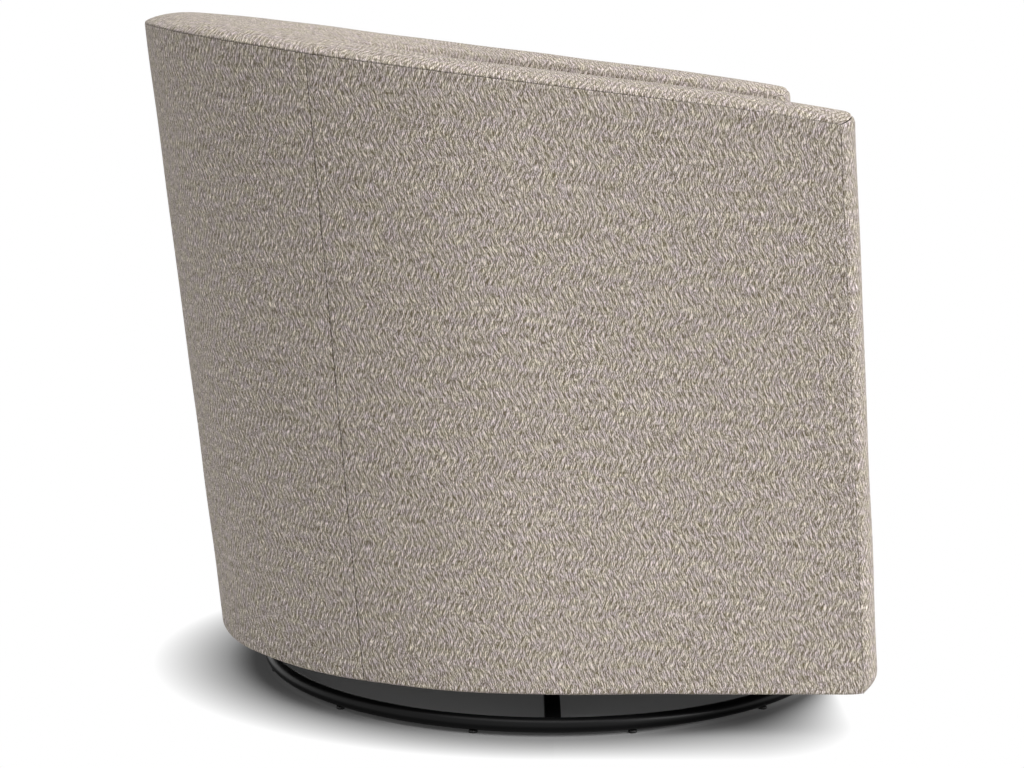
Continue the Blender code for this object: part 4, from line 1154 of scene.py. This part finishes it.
class CHAIR_OT_seat_cushion(Operator):
    """Make the loose seat cushion: a boxed cushion in the plan of the barrel, blown up as cloth"""

    bl_idname = "chair.seat_cushion"
    bl_label = "Seat cushion"

    def execute(self, context):
        wall, sizes = Wall(), covers()
        cells, layers = sizes.cushion_cells, sizes.cushion_layers
        obj = slab(cells, layers)
        flat = coordinates(obj.data)
        lines = cushion_lines(cells)
        a, b = (lines[np.rint((flat[:, axis] + 1) / 2 * cells).astype(int)] for axis in (0, 1))
        c = np.rint(flat[:, 2] * layers) / layers
        near = SEAM_STEP / sizes.cushion_edge
        level = np.where((c > 0) & (c < 1), near + (1 - 2 * near) * (c * layers - 1) / (layers - 2), c)
        rim = np.maximum(np.abs(a), np.abs(b))
        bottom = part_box("seat_cushion")[0].z
        z = bottom + level * sizes.cushion_edge
        safe = np.maximum(rim, TINY)
        edge = cushion_rim(wall, a / safe, b / safe, z)
        middle = np.stack([0 * z, 0 * z + (wall.rear / 4 - wall.front / 2), z], axis=1)
        outward = edge - middle
        drawn = sizes.cushion_round * (2 * level - 1) ** 2 / np.linalg.norm(outward, axis=1)
        points = middle + outward * (rim * (1 - drawn))[:, None]
        points[:, 2] += np.where(c == 1, sizes.cushion_crown * (1 - rim ** CROWN_CURVE), 0)
        place_vertices(obj.data, points + FROM_SWIVEL)
        seam = (rim == 1) & ((c == 0) | (c == 1))
        limit = np.where(c == 1, sizes.swell_limit, sizes.side_swell * 4 * level * (1 - level))
        swell(obj, seam | (c == 0), limit)
        cushion_map(obj, a, b, c, wall)
        points = coordinates(obj.data)
        normal = np.array([vertex.normal for vertex in obj.data.vertices])
        points[seam] -= normal[seam] * sizes.seam_depth
        place_vertices(obj.data, points)
        apply(obj, "SUBSURF", levels=1, render_levels=1)
        smooth(obj)
        upholster(obj, "seat_cushion_cover", 0.75, "seat_cushion")
        return {"FINISHED"}


LINING_FRONT = 1 * MM
LINING_THICK = 0.8 * MM
LINING_ROWS, RIPPLE_POINTS, RIPPLE_SHARE = 12, 11, 0.3
WALL_POINTS, FRONT_POINTS = 160, 60
STAPLE = (10 * MM, 1.2 * MM, 0.6 * MM)
STAPLE_INSET, STAPLE_STEP, STAPLE_TURN = 0.975, 5, 0.25


def outline_below(wall, inset, z):
    """Plan of the underside as a closed loop of points: round the wall and back along its front."""
    end = wall.behind_front(barrel().bulge + LINING_FRONT)
    station = np.linspace(-end, end, WALL_POINTS + 1)
    wall_line = wall.face(station, np.full_like(station, z), 0.0, inset)
    way = np.linspace(0, 1, FRONT_POINTS + 1)[1:, None]
    front_line = wall_line[-1] + (wall_line[0] - wall_line[-1]) * way
    return np.concatenate([wall_line, front_line])


def lining(name, inner, outer, sag, node):
    """A thin cloth between two loops of points, which hangs down a little between them."""
    way = np.linspace(0, 1, LINING_ROWS + 1)[:, None]
    points = inner[None] + (outer - inner)[None] * way[..., None]
    ripple = np.sin(np.arange(len(outer)) * 2 * math.pi / RIPPLE_POINTS)[None, :]
    points[..., 2] -= sag * np.sin(math.pi * way) * (1 + RIPPLE_SHARE * ripple)
    cloth = cloth_grid(points, points[..., 0], points[..., 1], -1)
    merge(cloth, SAME_POINT)
    apply(cloth, "SOLIDIFY", thickness=LINING_THICK, offset=-1.0)
    face_out(cloth)
    smooth(cloth, CREASE)
    return settle(cloth, name, "carriage", "lining_cloth", node)


class CHAIR_OT_seat_deck(Operator):
    """Make the cloth deck stretched over the springs"""

    bl_idname = "chair.seat_deck"
    bl_label = "Seat deck"

    def execute(self, context):
        wall = Wall()
        inset, z = wall.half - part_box("seat_deck")[1].x, DECK_TOP - 1 * MM
        outer = outline_below(wall, inset, z)
        middle = np.broadcast_to([0, 0, z], outer.shape)
        deck = lining("seat_deck_cloth", middle, outer, covers().lining_sag / 2, "seat_deck")
        return {"FINISHED"}


class CHAIR_OT_dust_cover(Operator):
    """Make the lining stapled under the frame, open over the mechanism"""

    bl_idname = "chair.dust_cover"
    bl_label = "Dust cover"

    def execute(self, context):
        wall, sizes = Wall(), covers()
        low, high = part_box("dust_cover")
        outer = outline_below(wall, sizes.lining_inset, high.z)
        across, along = (np.maximum(np.abs(outer[:, axis]), TINY) for axis in (0, 1))
        shrink = np.minimum(np.minimum(sizes.well_x / across, sizes.well_y / along), 1)
        inner = outer * np.stack([shrink, shrink, np.ones_like(shrink)], axis=1)
        cover = lining("dust_cover_cloth", inner, outer, sizes.lining_sag, "dust_cover")
        frame_under, staples = ["bottom_frame"], [self.staples(outer, low.z)]
        return {"FINISHED"}

    def staples(self, loop, z):
        """Wire staples a little inside the edge of the lining."""
        wires = []
        for index in range(2, len(loop) - 2, STAPLE_STEP):
            along = loop[index + 1] - loop[index - 1]
            spot = loop[index] * STAPLE_INSET
            turn = math.atan2(along[1], along[0]) + STAPLE_TURN * math.sin(index)
            place = (spot[0], spot[1] + SWIVEL_Y, z - 0.2 * MM)
            wires.append(added("cube", size=1, location=place, rotation=(0, 0, turn)))
            wires[-1].scale = STAPLE
        for wire in wires:
            wire.select_set(True)
        bpy.context.view_layer.objects.active = wires[0]
        bpy.ops.object.join()
        joined = bpy.context.object
        bpy.ops.object.transform_apply(location=True, rotation=True, scale=True)
        apply(joined, "BEVEL", width=0.25 * MM, segments=2)
        return settle(joined, "dust_cover_staples", "carriage", "zinc_steel")


WELD_TURN, WELD_RADIUS = 35, 1.6 * MM
WELD_RIPPLES, RIPPLE_HEIGHT = 60, 0.14
ANY_WAY = np.array([0.31, 0.17, 0.93])


def bead(name, path, radius):
    """A weld bead along a path, with the ripples of its run and rounded ends."""
    obj = added("uv_sphere", segments=12, ring_count=40, radius=1)
    ball = coordinates(obj.data)
    way = np.clip((ball[:, 2] + 1) / 2, 0, 1)
    run = np.linspace(0, 1, len(path))
    spine, along = (
        np.stack([np.interp(way, run, line[:, axis]) for axis in range(3)], axis=1)
        for line in (path, np.gradient(path, axis=0)))
    along /= np.linalg.norm(along, axis=1, keepdims=True)
    first = np.cross(along, ANY_WAY)
    first /= np.linalg.norm(first, axis=1, keepdims=True)
    second = np.cross(along, first)
    wide = radius * np.sqrt(np.clip(1 - ball[:, 2] ** 8, 0, 1))
    wide = wide * (1 + RIPPLE_HEIGHT * np.sin(way * WELD_RIPPLES))
    around = np.arctan2(ball[:, 1], ball[:, 0])
    pole = np.hypot(ball[:, 0], ball[:, 1]) < 1e-6
    wide = np.where(pole, 0, wide)[:, None]
    spoke = np.cos(around)[:, None] * first + np.sin(around)[:, None] * second
    place_vertices(obj.data, spine + wide * spoke)
    face_out(obj)
    smooth(obj)
    settle(obj, name, "base", "black_steel")


class CHAIR_OT_floor_ring(Operator):
    """Make the bent tube ring on the floor, with the welds that hold its bars"""

    bl_idname = "chair.floor_ring"
    bl_label = "Floor ring"

    def execute(self, context):
        low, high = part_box("base_ring")
        middle, tube = (low + high) / 2, (high.z - low.z) / 2
        radius = (high.x - low.x) / 2 - tube
        rings = {"major_segments": 240, "minor_segments": 32}
        ring = added("torus", major_radius=radius, minor_radius=tube, location=middle, **rings)
        smooth(ring)
        settle(ring, "floor_ring_tube", "base", "black_steel", "base_ring")
        half = (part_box("cross_bar")[1].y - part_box("cross_bar")[0].y) / 2
        turn = np.radians(np.linspace(WELD_TURN, -WELD_TURN, 24))
        away = radius - tube * np.cos(turn)
        for index in range(8):
            beside = (half + 0.2 * MM) * (-1 if index % 2 == 0 else 1)
            cos, sin = math.cos(index // 2 * QUARTER), math.sin(index // 2 * QUARTER)
            x, y = away * cos - beside * sin, away * sin + beside * cos
            path = np.stack([x, y, tube * np.sin(turn)], axis=1)
            bead(f"bar_weld_{index + 1}", path + np.array(middle), WELD_RADIUS)
        return {"FINISHED"}


class CHAIR_OT_glides(Operator):
    """Make the button glides under the ring"""

    bl_idname = "chair.glides"
    bl_label = "Glides"

    def execute(self, context):
        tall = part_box("base_ring")[0].z - 0.3 * MM
        for name in nodes_named("foot_glide"):
            low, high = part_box(name)
            place = ((low.x + high.x) / 2, (low.y + high.y) / 2, tall / 2)
            button = added("cylinder", vertices=40, radius=(high.x - low.x) / 2, depth=tall, location=place)
            apply(button, "BEVEL", width=0.9 * MM, segments=4, limit_method="ANGLE")
            smooth(button, CREASE)
            settle(button, name.replace("foot_glide", "glide_button"), "base", "glide_plastic", name)
        return {"FINISHED"}


SPRING_PITCH, SPRING_BEND, SPRING_POINTS = 74 * MM, 2.2, 20


class CHAIR_OT_seat_springs(Operator):
    """Make the zigzag wire springs under the seat deck"""

    bl_idname = "chair.seat_springs"
    bl_label = "Seat springs"

    def execute(self, context):
        for name in nodes_named("seat_spring"):
            low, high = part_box(name)
            middle, wire = (low + high) / 2, (high.z - low.z) / 2
            curve = bpy.data.curves.new(name, "CURVE")
            curve.dimensions = "3D"
            curve.bevel_depth = wire
            curve.bevel_resolution = 3
            curve.use_fill_caps = True
            turns = max(2, round((high.y - low.y) / SPRING_PITCH))
            way = np.linspace(0, 1, turns * SPRING_POINTS + 1)
            swing = np.tanh(SPRING_BEND * np.sin(way * turns * 2 * math.pi)) / math.tanh(SPRING_BEND)
            sideways = ((high.x - low.x) / 2 - wire) * swing
            spline = curve.splines.new("POLY")
            spline.points.add(len(way) - 1)
            for point, x, y in zip(spline.points, sideways, low.y + (high.y - low.y) * way):
                point.co = (middle.x + x, y, middle.z, 1)
            only(linked(name, curve))
            bpy.ops.object.convert(target="MESH")
            spring = context.object
            face_out(spring)
            smooth(spring, CREASE)
            settle(spring, name.replace("seat_spring", "spring_wire"), "carriage", "spring_steel", name)
        return {"FINISHED"}


EASED_EDGES = {"black_steel": 0.0008, "zinc_steel": 0.0006, "frame_timber": 0.0015}
KEPT_PLAIN = ("base_ring", "ball_cage")
FLAT_ANGLE, EDGE_ANGLE = math.radians(2), math.radians(50)


class CHAIR_OT_eased_frame(Operator):
    """Ease the edges of the bars, plates, links and boards"""

    bl_idname = "chair.eased_frame"
    bl_label = "Eased frame"

    def execute(self, context):
        for name, node in frame["nodes"].items():
            width = EASED_EDGES.get(NODE_SLOT[name])
            if width is None or name in KEPT_PLAIN:
                continue
            piece = linked(f"{name}_eased", node.data.copy())
            edit(piece)
            bpy.ops.mesh.remove_doubles(threshold=0.01 * MM)
            bpy.ops.mesh.dissolve_limited(angle_limit=FLAT_ANGLE)
            leave_edit()
            apply(piece, "BEVEL", width=width, segments=2, limit_method="ANGLE", angle_limit=EDGE_ANGLE)
            smooth(piece, CREASE)
            settle(piece, f"{name}_eased", node["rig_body"], NODE_SLOT[name], name)
        return {"FINISHED"}


class CHAIR_OT_frame_finishes(Operator):
    """Give every piece of the frame that still shows its finish"""

    bl_idname = "chair.frame_finishes"
    bl_label = "Frame finishes"

    def execute(self, context):
        for name, node in frame["nodes"].items():
            dress(node, NODE_SLOT[name])
        return {"FINISHED"}


# Stage

KEY_FROM, KEY_SPREAD = (-0.36, -0.74, 0.56), 40
TOP_FROM, TOP_SPREAD = (-0.1, 0.0, 1.0), 60
RING_BLEND = 0.03
NOTHING = 0.00001


def studio_floor():
    """Pale floor under the chair with a painted shadow: its colour is painted dark from the ring outwards,
    and it turns into plain white glow past the shadow's outline.
    """
    sizes = stage()
    floor = finish("studio_floor", 0.0, roughness=0.9)
    place = floor.object_place()
    x, y = floor.axis(place, "X"), floor.axis(place, "Y") - SWIVEL_Y
    low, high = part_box("base_ring")
    past_ring = (x ** 2 + y ** 2) ** 0.5 - (high.x - low.x) / 2
    half, rear = sizes.shadow_half, sizes.shadow_rear
    front, corner = sizes.shadow_front, sizes.shadow_corner
    behind = y.math("GREATER_THAN", y, 0.0)
    round_back = (((x / half) ** 2 + (y / rear) ** 2) ** 0.5 - 1.0) * ((half + rear) / 2)
    across, ahead = x.math("ABSOLUTE", x, 0.0) - (half - corner), (0.0 - y) - (front - corner)
    nearest = x.math("MINIMUM", across.most(ahead), 0.0)
    outside = across.most(0.0), ahead.most(0.0)
    square_front = (outside[0] ** 2 + outside[1] ** 2) ** 0.5 + nearest - corner
    past_shadow = behind * round_back + (1.0 - behind) * square_front
    gone, left = past_ring.most(0.0), (0.0 - past_shadow).most(0.0)
    out = gone / (gone + left + NOTHING)
    # Painted shadow: the floor's colour blends from its own colour inside the ring to the painted shadow
    # colour past it
    base = floor.mix((past_ring / RING_BLEND + 1.0).clamp(), tuple(sizes.floor), tuple(sizes.floor_painted_shadow))
    floor.done(base_color=base)
    # The floor glows plain white past the shadow's outline; inside it the glow fades in as a painted soft
    # shadow edge, with a painted least glow under the chair
    white = floor.node("ShaderNodeEmission", {}, {"Strength": 1.0})
    plain = Shade(floor, floor.shader.outputs[0])
    painted_floor_glow = (out ** sizes.fade).most(sizes.painted_floor_glow)
    shown = floor.node("ShaderNodeMixShader", {}, {0: painted_floor_glow, 1: plain, 2: white})
    floor.plug(floor.tree.nodes["Material Output"], {"Surface": shown})
    return floor.owner


def studio_sky():
    """White for the camera and for reflections, and a plain level of light for everything else."""
    world = bpy.data.worlds.new("studio_sky")
    bpy.context.scene.world = world
    sky = Nodes(world, "Background")
    camera, glossy, through = (
        sky.node("ShaderNodeLightPath", {}, {}, output=f"Is {kind} Ray")
        for kind in ("Camera", "Glossy", "Transmission"))
    shown = camera.most(through).most(glossy)
    level = sky.node("ShaderNodeMix", {}, {"Factor": shown, "A": stage().sky, "B": 1.0}, output="Result")
    sky.done(color=(1, 1, 1, 1), strength=level)


def sun(name, strength, direction, spread):
    """A soft distant light from a direction."""
    data = bpy.data.lights.new(name, "SUN")
    data.energy = strength
    data.angle = math.radians(spread)
    linked(name, data).rotation_euler = Vector(direction).to_track_quat("Z", "Y").to_euler()


class CHAIR_OT_stage(Operator):
    """Set up the floor, the light and the camera"""

    bl_idname = "chair.stage"
    bl_label = "Studio stage"

    def execute(self, context):
        settings = stage()
        floor = added("circle", vertices=96, radius=settings.floor_radius, fill_type="NGON")
        floor.name = "studio_floor"
        floor.data.materials.append(studio_floor())
        studio_sky()
        sun("key_light", settings.key, KEY_FROM, KEY_SPREAD)
        sun("top_light", settings.top, TOP_FROM, TOP_SPREAD)
        data = bpy.data.cameras.new("camera")
        data.lens = settings.lens
        camera = linked("camera", data)
        camera.location = settings.camera
        camera.rotation_euler = (QUARTER - settings.tilt, 0, -QUARTER)
        context.scene.camera = camera
        context.scene.view_settings.view_transform = "Standard"
        return {"FINISHED"}


class CHAIR_PT_dress(Panel):
    """Lists the pieces that can be made"""

    bl_idname = "CHAIR_PT_dress"
    bl_label = "Barrel chair"
    bl_space_type = "VIEW_3D"
    bl_region_type = "UI"
    bl_category = "Chair"

    def draw(self, context):
        for operator in OPERATORS:
            self.layout.operator(operator.bl_idname)
        for group in (barrel(), covers(), weave(), stage()):
            box = self.layout.box()
            for name in group.__annotations__:
                box.prop(group, name)


OPERATORS = (
    CHAIR_OT_frame_finishes, CHAIR_OT_outer_covers, CHAIR_OT_inside_cover, CHAIR_OT_arm_fronts,
    CHAIR_OT_front_border, CHAIR_OT_seat_cushion, CHAIR_OT_dust_cover, CHAIR_OT_floor_ring, CHAIR_OT_glides,
    CHAIR_OT_seat_springs, CHAIR_OT_seat_deck, CHAIR_OT_eased_frame, CHAIR_OT_stage)
GROUPS = {
    "chair_barrel": BarrelSizes, "chair_covers": CoverSizes, "chair_weave": WeaveSizes,
    "chair_stage": StageSettings}


def register():
    for made in (*GROUPS.values(), *OPERATORS, CHAIR_PT_dress):
        bpy.utils.register_class(made)
    for name, group in GROUPS.items():
        setattr(bpy.types.Scene, name, PointerProperty(type=group))


def unregister():
    for name in GROUPS:
        delattr(bpy.types.Scene, name)
    for made in (CHAIR_PT_dress, *reversed(OPERATORS), *reversed(GROUPS.values())):
        bpy.utils.unregister_class(made)


def main():
    register()
    for operator in OPERATORS:
        family, name = operator.bl_idname.split(".")
        getattr(getattr(bpy.ops, family), name)()


if __name__ == "__main__":
    main()
